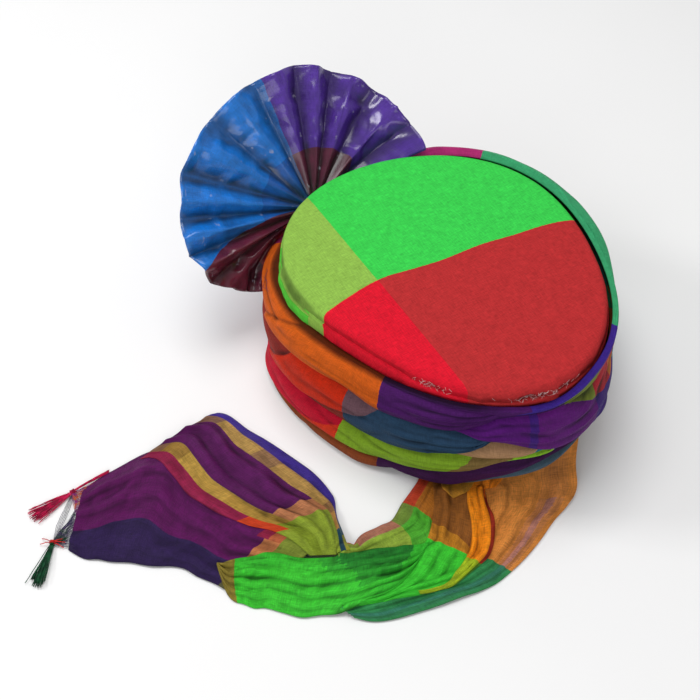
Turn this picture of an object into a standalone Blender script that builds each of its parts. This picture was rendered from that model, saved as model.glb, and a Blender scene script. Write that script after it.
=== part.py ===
"""A tied turban (pagri) lying on a flat surface: padded crown, cloth wraps, pleated fan and trailing tail.

Frame: metres, +Z up, the front (under the fan) faces -Y, the origin is on the surface below the middle of the
head opening. An angle around the turban is measured from +X towards +Y.
"""
import bpy
from math import cos, sin, pi, radians
from mathutils import Vector

for old in list(bpy.data.objects):
    bpy.data.objects.remove(old, do_unlink=True)

# Driving dimensions of the crown and of the head opening
CROWN_LENGTH = 0.248        # along Y
CROWN_WIDTH = 0.204         # along X
CROWN_CORNER = 0.006        # how far the crown's outline swells into three soft corners
CORNER_ANGLE = radians(72.5)
HEIGHT = 0.118
HEAD_LENGTH = 0.196
HEAD_WIDTH = 0.160
CAP_WALL = 0.0025
CROWN_PAD = 0.010
CROWN_DOME = 0.0015
# Heights of the rings of the cap and of the flare above it, as shares of HEIGHT
CAP_RINGS = (0.0, 0.27, 0.52)
FLARE_RINGS = (0.52, 0.57, 0.62, 0.67, 0.72, 0.77, 0.81, 0.85, 0.90)
# Rings of the crown: the underside's radii as shares of the crown's, the rounded shoulder's distance in from the edge
# and down from the top as shares of CROWN_PAD, and the top's radii as shares of the crown's
UNDER_RINGS = (0.4, 0.75)
SHOULDER_RINGS = ((0.0, 0.62), (0.10, 0.38), (0.35, 0.16), (0.85, 0.03))
TOP_RINGS = (0.70, 0.35)
FLARE_START = 0.52          # where the cap begins to widen towards the crown, as a share of HEIGHT
FLARE_END = 0.85            # and where it has reached the crown's outline
LEDGE_END = 0.90            # end of the small ledge above the flare

# Driving dimensions of the wound cloth
WRAP_BULGE = 0.0125         # how far the wraps stand out beyond the crown
RIM_LEAN = 0.020            # how far the lowest wraps lean out towards LEAN_ANGLE
LEAN_ANGLE = radians(-15)
NEAR_ANGLE = radians(45)    # the side where the top roll lies flattest
CREASE_DEPTH = 0.0045       # how deep the valley between two wraps is
TUCK_DEPTH = 0.007          # how far a wrap that is tucked under its neighbour stands back
WRAP_DROOP = 0.0025         # how far the lip of a wrap hangs below its inner edge, over a depth of WRAP_DEPTH
WRAP_DEPTH = 0.030
ROLL_SWELL = 0.008          # extra bulge of the top roll on the far side of the crown
NECK_SWELL = 0.003          # extra bulge where the wraps pass around the fan's neck
WRAP_SET_BACK = 0.003       # how far the upper wraps sit towards the front

# Driving dimensions of the fan
FAN_RADIUS = 0.108
FAN_ROOT = 0.0065
FAN_CLOTH = 0.0012
FAN_PLEAT = 0.0065          # half the depth of a pleat at the rim
FAN_ANGLE = radians(275.5)  # where the fan stands on the turban
FAN_HEIGHT = 0.088
FAN_STANDOFF = 0.007        # how far the fan's pivot lies outside the crown's edge
FAN_TURN = radians(82.6)    # heading of the fan's front face
FAN_TILT = radians(43.0)    # how far that face looks up
FAN_CURL = 0.044            # how far the last pleats curl forward over the crown's edge
NECK_LENGTH = 0.024
NECK_THICKNESS = 0.007
NECK_WIDTH = 0.024
NECK_REACH = radians(9)     # the wraps leave room for the neck this far to either side of it
NECK_EASE = radians(15)     # and close on the cap again over this much more
NECK_RINGS = (0.0, 0.2, 0.45, 0.7, 1.0)     # sections of the neck, as shares of the way down

# Driving dimensions of the tail and of its tassels
TAIL_REACH = 0.320          # plan size that the tail's outline is drawn in
TAIL_LIFT = 0.024           # height at which the tail leaves the wraps
TAIL_CLOTH = 0.0022
ROOT_START = radians(30)    # where the tail's inner edge leaves the cap
ROOT_END = radians(98)      # and its outer edge
ROOT_GAP = 0.0006           # between the cap and the tail's root, both of flat facets
TASSEL_LENGTH = 0.036
CORD_RADIUS = 0.0011

GAP = 0.0003                # between two pieces that touch
CLIMB_SHARE = 0.07          # what a gap between two wraps gains of their edge's climb from facet to facet
SLACK = 0.001               # between the cap and the cloth wound on it
STATIONS = 44

# Bulge of the wound cloth by height: height as a share of HEIGHT, bulge as a share of WRAP_BULGE beyond the
# crown's outline, lean as a share of RIM_LEAN
PROFILE = (
    # height bulge  lean
    (0.00, -1.10, 1.00),
    (0.07, -0.60, 0.90),
    (0.25, 0.60, 0.35),
    (0.47, 1.02, 0.15),
    (0.68, 1.00, 0.05),
    (0.85, 0.90, 0.00),
    (0.95, 0.72, 0.00),
)

# Edges between the wraps by angle in degrees, from the top down, as shares of HEIGHT. Two edges that run close
# together are a wrap that is tucked under its neighbour
WRAPS = ("wrap_top_roll", "wrap_cross_band", "wrap_upper_band", "wrap_tucked_band", "wrap_middle_band",
         "wrap_lower_band", "wrap_base_band")
EDGES = (
    # angle  top    roll   cross  upper  tucked middle lower  rim
    (0, 0.800, 0.640, 0.622, 0.300, 0.282, 0.075, 0.028, 0.0),
    (15, 0.810, 0.605, 0.587, 0.315, 0.297, 0.085, 0.032, 0.004),
    (30, 0.850, 0.640, 0.622, 0.390, 0.370, 0.160, 0.060, 0.035),
    (45, 0.895, 0.700, 0.680, 0.515, 0.475, 0.330, 0.150, 0.090),
    (60, 0.905, 0.850, 0.662, 0.630, 0.525, 0.465, 0.345, 0.265),
    (75, 0.870, 0.848, 0.520, 0.500, 0.475, 0.435, 0.390, 0.310),
    (90, 0.945, 0.885, 0.455, 0.435, 0.415, 0.380, 0.340, 0.300),
    (110, 0.960, 0.880, 0.470, 0.420, 0.395, 0.260, 0.180, 0.130),
    (135, 0.960, 0.860, 0.500, 0.390, 0.360, 0.215, 0.070, 0.0),
    (200, 0.965, 0.850, 0.560, 0.360, 0.330, 0.170, 0.055, 0.0),
    (225, 0.950, 0.830, 0.590, 0.355, 0.328, 0.155, 0.048, 0.0),
    (235, 0.900, 0.770, 0.590, 0.350, 0.325, 0.150, 0.045, 0.0),
    (248, 0.770, 0.665, 0.585, 0.340, 0.320, 0.140, 0.040, 0.0),
    (270, 0.700, 0.630, 0.580, 0.330, 0.310, 0.120, 0.035, 0.0),
    (288, 0.680, 0.605, 0.580, 0.315, 0.295, 0.105, 0.030, 0.0),
    (302, 0.760, 0.600, 0.580, 0.300, 0.280, 0.095, 0.028, 0.0),
    (315, 0.800, 0.600, 0.582, 0.280, 0.262, 0.085, 0.028, 0.0),
    (330, 0.800, 0.605, 0.587, 0.270, 0.252, 0.075, 0.028, 0.0),
)
# Points down a wrap's outer face, as shares of its height from its lower edge
FACE_POINTS = (0.0, 0.15, 0.40, 0.66, 0.88, 1.0)
# How many points each wrap's inner wall has, so that it follows the flare of the cap
INNER_POINTS = (5, 7, 4, 2, 2, 2, 2)

# Fold lines of the fan: angle in degrees from -X, the rim's radius as a share of FAN_RADIUS, and how far the rim
# curls forward, or bends back where it is negative, as a share of FAN_CURL. Ridges and valleys take turns, a ridge
# first
FOLDS = (
    # angle  radius  curl
    (3, 0.82, 0.80), (16.5, 0.87, 0.78), (26, 0.91, 0.50), (36, 0.965, 0.30), (46, 0.995, 0.05), (54, 1.00, 0.0),
    (62, 1.01, 0.0), (71, 1.02, 0.0), (80, 0.99, 0.0), (91, 0.975, 0.0), (103, 0.98, 0.0), (116, 0.97, 0.0),
    (129, 1.00, 0.0), (141, 1.01, 0.0), (152, 1.01, 0.0), (159, 1.00, 0.0), (167, 1.02, 0.0), (174, 1.00, 0.0),
    (181, 0.96, 0.0), (188, 0.92, -0.15), (196, 0.85, -0.25), (206, 0.74, -0.35),
)
RADII = (0.0, 0.16, 0.42, 0.70, 1.0)    # rings of the fan, as shares of the way from its root to its rim

# Outline of the tail, one row per cross section from the lip of the wraps to the free end. The inner and outer
# edge are given in plan as shares of TAIL_REACH, then the height of the cloth's underside at five places from the
# inner to the outer edge as shares of TAIL_LIFT. Row 0, the root, lies on the cap instead, at the first heights
TAIL = (
    # inner x  y     outer x  y       heights from the inner to the outer edge
    (0.305, 0.195, -0.025, 0.398, 0.02, 0.22, 0.95, 1.10, 0.95),
    (0.362, 0.216, 0.105, 0.468, 0.02, 0.30, 0.52, 0.46, 0.10),
    (0.419, 0.231, 0.250, 0.503, 0.02, 0.30, 0.38, 0.26, 0.02),
    (0.469, 0.222, 0.403, 0.494, 0.02, 0.28, 0.36, 0.24, 0.02),
    (0.513, 0.200, 0.525, 0.438, 0.02, 0.26, 0.36, 0.26, 0.02),
    (0.497, 0.150, 0.622, 0.369, 0.02, 0.26, 0.38, 0.28, 0.02),
    (0.466, 0.094, 0.722, 0.238, 0.02, 0.24, 0.36, 0.26, 0.02),
    (0.450, 0.016, 0.797, 0.106, 0.02, 0.20, 0.30, 0.22, 0.02),
    (0.456, -0.078, 0.822, 0.013, 0.02, 0.16, 0.24, 0.18, 0.02),
    (0.469, -0.172, 0.862, -0.041, 0.02, 0.12, 0.20, 0.14, 0.02),
    (0.500, -0.262, 0.906, -0.094, 0.02, 0.10, 0.16, 0.12, 0.02),
    (0.640, -0.297, 0.938, -0.140, 0.02, 0.08, 0.12, 0.08, 0.02),
    (0.780, -0.310, 0.956, -0.172, 0.02, 0.05, 0.08, 0.06, 0.02),
    (0.868, -0.322, 0.969, -0.225, 0.02, 0.03, 0.04, 0.03, 0.02),
)
TAIL_STEPS = 3              # cross sections made from each row

# Panels of the tail: layer from the surface up, then rows of (row, inner edge, outer edge) across the outline,
# both edges as shares of the way from the inner to the outer edge
PANELS = {
    "tail_outer_panel": (0, ((0, 0.50, 1.0), (1, 0.50, 1.0), (2, 0.52, 1.0), (3, 0.56, 1.0), (4, 0.60, 1.0),
                             (5, 0.64, 1.0), (6, 0.84, 1.0), (6.33, 0.93, 1.0))),
    "tail_inner_panel": (0, ((0, 0.0, 0.485), (1, 0.0, 0.485), (2, 0.0, 0.505), (3, 0.0, 0.545),
                             (4, 0.0, 0.585), (5, 0.0, 0.625))),
    "tail_ribbon_fold": (1, ((0, 0.36, 0.60), (1, 0.38, 0.54), (2, 0.42, 0.60), (3, 0.52, 0.72),
                             (4, 0.62, 0.80), (4.67, 0.72, 0.84))),
    "tail_green_fold": (2, ((3.33, 0.26, 0.40), (4, 0.20, 0.58), (5, 0.20, 0.82), (6, 0.40, 0.97),
                            (7, 0.57, 1.0), (8, 0.74, 1.0), (8.33, 0.80, 1.0))),
    "tail_end_lower": (0, ((5.33, 0.0, 0.62), (6, 0.0, 0.68), (6.67, 0.10, 0.77), (7.33, 0.20, 1.0),
                           (8, 0.24, 1.0), (10, 0.28, 1.0), (12, 0.0, 1.0), (13, 0.0, 1.0), (14, 0.10, 0.96))),
    "tail_end_upper": (1, ((5, 0.0, 0.50), (6, 0.0, 0.56), (7, 0.0, 0.58), (8, 0.0, 0.60), (9, 0.0, 0.62),
                           (10, 0.0, 0.60), (11, 0.0, 0.50), (12, 0.0, 0.26), (12.33, 0.02, 0.16))),
}
PANEL_COLUMNS = 4

# Tassels: place on the tail as (row, across), the knot's place from there in plan as shares of TASSEL_LENGTH, and
# the heading of the threads in degrees
TASSELS = (
    # name          row  across knot x  knot y  heading
    ("tassel_pink", 13, -0.02, 0.83, -0.11, -6),
    ("tassel_green", 14, 0.85, 0.25, -0.08, 35),
)
# Sections of a tassel from its knot to its tip: place as a share of TASSEL_LENGTH, then half its width and half its
# thickness as multiples of CORD_RADIUS
LOCKS = (
    # place width thickness
    (0.00, 2.2, 2.0),
    (0.08, 2.6, 2.2),
    (0.16, 1.5, 1.4),
    (0.45, 2.6, 1.8),
    (0.80, 3.8, 1.8),
    (1.00, 4.7, 1.4),
)

# Colour, roughness and metallic value of each piece
FINISH = {
    "crown": ((0.13, 0.62, 0.10), 0.80, 0.0),
    "cap": ((0.30, 0.30, 0.08), 0.85, 0.0),
    "cap_flare": ((0.30, 0.30, 0.08), 0.85, 0.0),
    "wrap_top_roll": ((0.62, 0.20, 0.02), 0.65, 0.0),
    "wrap_cross_band": ((0.09, 0.02, 0.22), 0.60, 0.0),
    "wrap_upper_band": ((0.05, 0.10, 0.18), 0.65, 0.0),
    "wrap_tucked_band": ((0.35, 0.22, 0.10), 0.65, 0.0),
    "wrap_middle_band": ((0.22, 0.36, 0.04), 0.65, 0.0),
    "wrap_lower_band": ((0.07, 0.02, 0.07), 0.65, 0.0),
    "wrap_base_band": ((0.12, 0.18, 0.22), 0.65, 0.0),
    "fan": ((0.02, 0.10, 0.45), 0.25, 0.0),
    "fan_neck": ((0.12, 0.01, 0.03), 0.45, 0.0),
    "tail_outer_panel": ((0.38, 0.14, 0.03), 0.55, 0.0),
    "tail_inner_panel": ((0.25, 0.10, 0.02), 0.55, 0.0),
    "tail_ribbon_fold": ((0.80, 0.28, 0.01), 0.50, 0.0),
    "tail_green_fold": ((0.03, 0.50, 0.03), 0.50, 0.0),
    "tail_end_lower": ((0.10, 0.02, 0.12), 0.55, 0.0),
    "tail_end_upper": ((0.12, 0.01, 0.09), 0.55, 0.0),
    "tassel_pink": ((0.70, 0.01, 0.12), 0.60, 0.0),
    "tassel_green": ((0.01, 0.07, 0.03), 0.60, 0.0),
}


def curve_value(rows, column, at, period=None):
    """Height of the smooth curve that passes through one column of a table, whose first column is the place."""
    places = [row[0] for row in rows]
    values = [row[column] for row in rows]
    if period:
        at = at % period
        places = [places[-1] - period] + places + [places[0] + period, places[1] + period]
        values = [values[-1]] + values + [values[0], values[1]]
    at = min(max(at, places[0]), places[-1])
    k = max(i for i in range(len(places) - 1) if places[i] <= at)

    def slope(i):
        low = max(i - 1, 0)
        high = min(i + 1, len(places) - 1)
        return (values[high] - values[low]) / (places[high] - places[low])

    step = places[k + 1] - places[k]
    t = (at - places[k]) / step
    first = (1 + 2 * t) * (1 - t) ** 2 * values[k] + t * (1 - t) ** 2 * step * slope(k)
    last = t * t * (3 - 2 * t) * values[k + 1] - t * t * (1 - t) * step * slope(k + 1)
    return first + last


def ease(t):
    """0 to 1 along a soft step."""
    t = min(max(t, 0.0), 1.0)
    return t * t * (3 - 2 * t)


def crown_radius(angle):
    """Outline of the crown in plan: an oval with three soft corners."""
    oval = (CROWN_LENGTH + CROWN_WIDTH) / 4 + (CROWN_WIDTH - CROWN_LENGTH) / 4 * cos(2 * angle)
    return oval + CROWN_CORNER * cos(3 * (angle - CORNER_ANGLE))


def head_radius(angle):
    """Outline of the head opening in plan."""
    return (HEAD_LENGTH + HEAD_WIDTH) / 4 + (HEAD_WIDTH - HEAD_LENGTH) / 4 * cos(2 * angle)


def cap_radius(angle, z):
    """Outside of the cap that the cloth is wound on: straight at the head, flared out to the crown."""
    wall = head_radius(angle) + CAP_WALL
    side = crown_radius(angle)
    share = z / HEIGHT
    if share <= FLARE_END:
        return wall + (side - wall) * ease((share - FLARE_START) / (FLARE_END - FLARE_START))
    return side + CAP_WALL / 2 * ease((share - FLARE_END) / (LEDGE_END - FLARE_END))


def wound_radius(angle, z):
    """Outside of the wound cloth."""
    share = z / HEIGHT
    bulge = WRAP_BULGE * curve_value(PROFILE, 1, share)
    lean = RIM_LEAN * curve_value(PROFILE, 2, share) * (0.5 + 0.5 * cos(angle - LEAN_ANGLE))
    far_side = ease((0.35 - cos(angle - NEAR_ANGLE)) / 0.7) * ease((share - 0.75) / 0.15)
    roll = ROLL_SWELL * far_side
    neck = NECK_SWELL * near_fan(angle) * ease(share * 2)
    set_back = WRAP_SET_BACK * sin(angle) * ease(share)
    return crown_radius(angle) + bulge + lean + roll + neck - set_back


def place(radius, angle, z):
    return Vector((radius * cos(angle), radius * sin(angle), z))


# Pivot and directions of the fan
FAN_NORMAL = Vector((cos(FAN_TURN) * cos(FAN_TILT), sin(FAN_TURN) * cos(FAN_TILT), sin(FAN_TILT)))
FAN_UP = (Vector((0, 0, 1)) - FAN_NORMAL * FAN_NORMAL.z).normalized()
FAN_SIDE = FAN_NORMAL.cross(FAN_UP)
FAN_PIVOT = place(crown_radius(FAN_ANGLE) + FAN_STANDOFF, FAN_ANGLE, FAN_HEIGHT)


def near_fan(angle):
    """1 where the fan's neck passes between the cap and the wraps, 0 away from it."""
    off = abs((angle - FAN_ANGLE + pi) % (2 * pi) - pi)
    return 1 - ease((off - NECK_REACH) / NECK_EASE)


def inner_radius(angle, z):
    """Inside of the wound cloth: on the cap, and behind the fan's neck where that passes."""
    on_cap = cap_radius(angle, z) + SLACK
    slope = FAN_UP.to_2d().length / FAN_UP.z
    behind_neck = FAN_PIVOT.to_2d().length + (z - FAN_HEIGHT) * slope + NECK_THICKNESS / 2 + 2 * SLACK
    return on_cap + max(0.0, behind_neck - on_cap) * near_fan(angle)


def solid(name, points, faces):
    """Closed body with its own material."""
    mesh = bpy.data.meshes.new(name)
    mesh.from_pydata([tuple(p) for p in points], [], faces)
    mesh.validate()
    mesh.shade_smooth()
    mesh.set_sharp_from_angle(angle=radians(50))
    body = bpy.data.objects.new(name, mesh)
    bpy.context.scene.collection.objects.link(body)
    colour, roughness, metallic = FINISH[name]
    material = bpy.data.materials.new(name)
    material.use_nodes = True
    shader = material.node_tree.nodes["Principled BSDF"]
    shader.inputs["Base Color"].default_value = (*colour, 1)
    shader.inputs["Roughness"].default_value = roughness
    shader.inputs["Metallic"].default_value = metallic
    material.diffuse_color = (*colour, 1)
    mesh.materials.append(material)
    return body


def volume_sign(points, faces):
    """Positive where the faces look outwards."""
    total = 0.0
    for a, b, c in faces:
        total += Vector(points[a]).dot(Vector(points[b]).cross(Vector(points[c])))
    return 1 if total > 0 else -1


def outward(points, faces):
    if volume_sign(points, faces) > 0:
        return faces
    return [tuple(reversed(face)) for face in faces]


def closed_ring(name, sections):
    """Body swept around the turban from closed sections, all with the same number of points."""
    count = len(sections)
    size = len(sections[0])
    points = [p for section in sections for p in section]
    faces = []
    for i in range(count):
        for j in range(size):
            a = i * size + j
            b = i * size + (j + 1) % size
            c = (i + 1) % count * size + (j + 1) % size
            d = (i + 1) % count * size + j
            # the same diagonal on both sides of the gap between two wraps
            if points[a].to_2d().length >= points[b].to_2d().length:
                faces += [(a, b, c), (a, c, d)]
            else:
                faces += [(a, b, d), (b, c, d)]
    return solid(name, points, outward(points, faces))


def lofted(name, rings):
    """Body through closed rings, with its two ends closed around their middles."""
    size = len(rings[0])
    points = [p for ring in rings for p in ring]
    faces = []
    for i in range(len(rings) - 1):
        for j in range(size):
            a = i * size + j
            b = i * size + (j + 1) % size
            faces += [(a, b, b + size), (a, b + size, a + size)]
    for ring, flip in ((0, True), (len(rings) - 1, False)):
        points.append(sum(rings[ring], Vector()) / size)
        for j in range(size):
            face = (ring * size + j, ring * size + (j + 1) % size, len(points) - 1)
            faces.append(tuple(reversed(face)) if flip else face)
    return solid(name, points, outward(points, faces))


def sheet_body(name, top, under):
    """Closed body between two grids of points with the same rows and columns."""
    rows = len(top)
    columns = len(top[0])
    points = [p for row in top for p in row] + [p for row in under for p in row]
    half = rows * columns
    faces = []
    for i in range(rows - 1):
        for j in range(columns - 1):
            a = i * columns + j
            b = a + 1
            c = a + columns + 1
            d = a + columns
            faces += [(a, b, c), (a, c, d), (half + a, half + c, half + b), (half + a, half + d, half + c)]
    border = [(i, 0) for i in range(rows)] + [(rows - 1, j) for j in range(1, columns)]
    border += [(i, columns - 1) for i in range(rows - 2, -1, -1)] + [(0, j) for j in range(columns - 2, 0, -1)]
    for (i, j), (k, m) in zip(border, border[1:] + border[:1]):
        a = i * columns + j
        b = k * columns + m
        faces += [(a, b, half + b), (a, half + b, half + a)]
    return solid(name, points, outward(points, faces))


def angles():
    return [2 * pi * i / STATIONS for i in range(STATIONS)]


def make_cap():
    """Cap that fits the head, open below, and the padded flare above it that carries the crown."""
    joint = FLARE_START * HEIGHT
    top = HEIGHT - CROWN_PAD - GAP
    wall = []
    flare = []
    for a in angles():
        heights = [share * HEIGHT for share in CAP_RINGS[:-1]] + [joint - GAP]
        section = [place(cap_radius(a, z), a, z) for z in heights]
        wall.append(section + [place(head_radius(a), a, z) for z in reversed(heights)])
        section = [place(cap_radius(a, z), a, z) for z in [share * HEIGHT for share in FLARE_RINGS] + [top]]
        flare.append(section + [place(head_radius(a), a, z) for z in (top, joint)])
    closed_ring("cap", wall)
    closed_ring("cap_flare", flare)


def make_crown():
    """Padded crown that closes the cap at the top."""
    under = HEIGHT - CROWN_PAD
    rings = []
    for share in UNDER_RINGS:
        rings.append([place(crown_radius(a) * share, a, under) for a in angles()])
    rings.append([place(cap_radius(a, under), a, under) for a in angles()])
    for inward, down in SHOULDER_RINGS:
        z = HEIGHT - CROWN_PAD * down
        rings.append([place(crown_radius(a) - CROWN_PAD * inward, a, z) for a in angles()])
    for share in TOP_RINGS:
        dome = HEIGHT + CROWN_DOME * (1 - share * share)
        rings.append([place(crown_radius(a) * share, a, dome) for a in angles()])
    lofted("crown", rings)


def edge_height(number, angle):
    """Height of one edge between two wraps, counted from the top."""
    return HEIGHT * max(curve_value(EDGES, number + 1, angle * 180 / pi, 360), 0.0)


def edge_gap(number, angle):
    """Gap between two wraps: a little wider where their edge climbs, because the flat facets twist there."""
    climb = edge_height(number, angle + pi / STATIONS) - edge_height(number, angle - pi / STATIONS)
    return GAP + CLIMB_SHARE * abs(climb)


def make_wraps():
    """Bands of cloth wound around the cap, stacked from the crown's edge down to the rim."""
    for number, name in enumerate(WRAPS):
        sections = []
        for a in angles():
            high = edge_height(number, a)
            low = edge_height(number + 1, a)
            high -= edge_gap(number, a) / 2 if number else 0.0
            low += edge_gap(number + 1, a) / 2 if number < len(WRAPS) - 1 else 0.0
            tall = high - low
            tucked = TUCK_DEPTH * (1 - ease(tall / (2 * TUCK_DEPTH)))
            section = []
            for t in FACE_POINTS:
                z = low + tall * t
                valley = CREASE_DEPTH * abs(2 * t - 1) ** 2.5 + tucked
                radius = max(wound_radius(a, z) - valley, inner_radius(a, z) + CREASE_DEPTH)
                section.append(place(radius, a, z))
            steps = INNER_POINTS[number]
            for k in range(steps):
                z = high - tall * k / (steps - 1)
                section.append(place(inner_radius(a, z), a, z))
            sections.append(section)
        # every face between two wraps slopes down outwards by the same amount, less so close to the rim
        for section, a in zip(sections, angles()):
            rim = edge_height(len(WRAPS), a)
            for point in section[:len(FACE_POINTS)]:
                above = min((point.z - rim) / (4 * WRAP_DROOP), 1.0)
                out = point.to_2d().length - inner_radius(a, point.z)
                point.z -= WRAP_DROOP * above * out / WRAP_DEPTH
        closed_ring(name, sections)


def fan_point(angle, radius, off):
    """Point of the fan at an angle from -X, at a radius from the pivot, off its middle plane.

    The pleats past the horizontal leave the root level, clear of the wraps, and hang down further out.
    """
    level = pi + min(radius / FAN_RADIUS, 1.0) * max(angle - pi, 0.0)
    angle = min(angle, level)
    return FAN_PIVOT - FAN_SIDE * cos(angle) * radius + FAN_UP * sin(angle) * radius + FAN_NORMAL * off


def make_fan():
    """Stiff pleated fan that stands at the front, and the gathered neck that holds it in the wraps."""
    front = []
    back = []
    for number, (degrees, reach, curl) in enumerate(FOLDS):
        side = 1 if number % 2 == 0 else -1
        front_row = []
        back_row = []
        for share in RADII:
            radius = FAN_ROOT + (FAN_RADIUS * reach - FAN_ROOT) * share
            depth = FAN_PLEAT * side * share ** 0.8 + FAN_CURL * curl * (share ** 3 if curl > 0 else share)
            front_row.append(fan_point(radians(degrees), radius, depth + FAN_CLOTH / 2))
            back_row.append(fan_point(radians(degrees), radius, depth - FAN_CLOTH / 2))
        front.append(front_row)
        back.append(back_row)
    sheet_body("fan", front, back)

    outwards = Vector((cos(FAN_ANGLE), sin(FAN_ANGLE), 0))
    beside = Vector((-sin(FAN_ANGLE), cos(FAN_ANGLE), 0))
    upwards = outwards * FAN_UP.to_2d().length + Vector((0, 0, FAN_UP.z))
    rings = []
    gathered = FAN_ROOT - GAP
    for share in NECK_RINGS:
        middle = FAN_PIVOT - upwards * NECK_LENGTH * share
        wide = gathered + (NECK_WIDTH / 2 - gathered) * ease((share - NECK_RINGS[1]) / (1 - NECK_RINGS[1]))
        thick = NECK_THICKNESS / 2
        ring = []
        for k in range(14):
            turn = 2 * pi * k / 14
            ring.append(middle + beside * wide * cos(turn) + beside.cross(upwards) * thick * sin(turn))
        rings.append(ring)
    lofted("fan_neck", rings)


def tail_point(row, across, layer):
    """Point on the underside of one layer of the tail, at a place along and across its outline."""
    table = [(i + 1, *values) for i, values in enumerate(TAIL)]
    inner_x, inner_y, outer_x, outer_y = [curve_value(table, c, row) * TAIL_REACH for c in (1, 2, 3, 4)]
    heights = [(c / 4, curve_value(table, 5 + c, row)) for c in range(5)]
    z = TAIL_LIFT * curve_value(heights, 1, across) + layer * (TAIL_CLOTH + 2 * GAP)
    point = Vector((inner_x + (outer_x - inner_x) * across, inner_y + (outer_y - inner_y) * across, z))
    if row < 1:
        angle = ROOT_START + (ROOT_END - ROOT_START) * across
        root = place(cap_radius(angle, z) + ROOT_GAP, angle, z)
        point = root.lerp(point, row)
    return point


def make_tail():
    """Folded end of the cloth: panels laid over each other along one route on the surface."""
    for name, (layer, rows) in PANELS.items():
        first = rows[0][0]
        last = rows[-1][0]
        count = round((last - first) * TAIL_STEPS)
        top = []
        under = []
        for i in range(count + 1):
            row = first + (last - first) * i / count
            start = curve_value(rows, 1, row)
            end = curve_value(rows, 2, row)
            places = [start + (end - start) * j / PANEL_COLUMNS for j in range(PANEL_COLUMNS + 1)]
            under.append([tail_point(row, place_across, layer) for place_across in places])
            top.append([p + Vector((0, 0, TAIL_CLOTH)) for p in under[-1]])
        sheet_body(name, top, under)


def tassel(name, start, knot, tip):
    """Cord from the cloth to a knot, then locks of thread that widen towards their tip."""
    cord = (knot - start).to_2d().normalized().to_3d()
    along = (tip - knot).to_2d().normalized().to_3d()
    spots = [(start, 1.0, 1.0, cord), (start.lerp(knot, 0.8), 1.0, 1.0, cord)]
    spots += [(knot.lerp(tip, share), wide, thick, along) for share, wide, thick in LOCKS]
    rings = []
    for middle, wide, thick, heading in spots:
        beside = Vector((-heading.y, heading.x, 0))
        ring = []
        for k in range(12):
            turn = 2 * pi * k / 12
            lobe = 1.0 if k % 2 == 0 else 0.82
            point = middle + beside * wide * CORD_RADIUS * lobe * cos(turn)
            ring.append(Vector((point.x, point.y, thick * CORD_RADIUS * (1 + lobe * sin(turn)))))
        rings.append(ring)
    lofted(name, rings)


def make_tassels():
    """Two tassels knotted to the corners of the tail's free end."""
    for name, row, across, knot_x, knot_y, heading in TASSELS:
        reach = Vector((knot_x, knot_y, 0)) * TASSEL_LENGTH
        start = tail_point(row, across, 0) + reach.normalized() * (GAP + CORD_RADIUS / 2)
        knot = start + reach
        tip = knot + Vector((cos(radians(heading)), sin(radians(heading)), 0)) * TASSEL_LENGTH
        tassel(name, start, knot, tip)


make_cap()
make_crown()
make_wraps()
make_fan()
make_tail()
make_tassels()
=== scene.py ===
# %% [markdown]
# # A tied turban, dressed over its CAD frame
#
# The CAD model says where each fold of the turban is. This lesson puts real cloth there: a padded crown, seven
# wound bands, a starched fan and a tail of thin folded silk. All sizes are in metres, +Z is up, and the front,
# where the fan stands, faces -Y.

# %% Load the frame
import bpy
import bmesh
import random
from math import sin, cos, pi, radians, degrees, hypot, atan2
from mathutils import Vector, Matrix, noise
from mathutils.bvhtree import BVHTree


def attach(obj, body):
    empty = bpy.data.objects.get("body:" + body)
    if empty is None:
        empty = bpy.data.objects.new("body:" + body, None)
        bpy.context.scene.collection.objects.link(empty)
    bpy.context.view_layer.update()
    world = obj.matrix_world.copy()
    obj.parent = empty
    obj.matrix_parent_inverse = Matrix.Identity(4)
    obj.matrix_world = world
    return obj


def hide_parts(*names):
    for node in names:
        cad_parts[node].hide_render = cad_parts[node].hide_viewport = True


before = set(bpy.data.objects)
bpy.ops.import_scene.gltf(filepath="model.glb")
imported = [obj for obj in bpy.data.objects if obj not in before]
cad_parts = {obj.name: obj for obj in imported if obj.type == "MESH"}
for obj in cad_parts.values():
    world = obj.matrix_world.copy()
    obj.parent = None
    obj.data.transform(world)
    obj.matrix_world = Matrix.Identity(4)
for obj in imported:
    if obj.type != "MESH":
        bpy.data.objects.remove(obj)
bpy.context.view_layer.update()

# %% [markdown]
# Three helpers save repeating the same few lines. One puts an object in the scene, one makes a material, and one
# mixes two colours.

# %% Objects, materials and mixes
def linked(name, data):
    """Object that shows this data, in the scene."""
    piece = bpy.data.objects.new(name, data)
    bpy.context.scene.collection.objects.link(piece)
    return piece


def new_material(name):
    """Material with nodes: the material, its tree and its shader."""
    material = bpy.data.materials.new(name)
    material.use_nodes = True
    return material, material.node_tree, material.node_tree.nodes["Principled BSDF"]


def add_mix(tree, factor, a, b):
    """Mix of two colours; a and b are sockets or colours."""
    mix = tree.nodes.new("ShaderNodeMix")
    mix.data_type = "RGBA"
    tree.links.new(factor, mix.inputs["Factor"])
    for key, value in (("A", a), ("B", b)):
        if isinstance(value, tuple):
            mix.inputs[key].default_value = (*value, 1)
        else:
            tree.links.new(value, mix.inputs[key])
    return mix.outputs["Result"]


# %% [markdown]
# ## Camera, floor and light
#
# The photograph looks down on the turban from the tail side. A camera can be placed by its three directions alone:
# right, up and back. They go into the columns of its matrix, so no angles need to be guessed.

# %% Camera at the photograph's view
HEADING = radians(135.5)
DOWN = radians(51.0)
DISTANCE = 0.931
FOCAL = 1300.0              # in pixels of the frame
FRAME = 700                 # width and height of the frame in pixels
AIM = Vector((-0.0046, 0.0013, 0.118))
AIM_AT = (455.1, 257.7)     # where that point is in the frame

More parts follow.
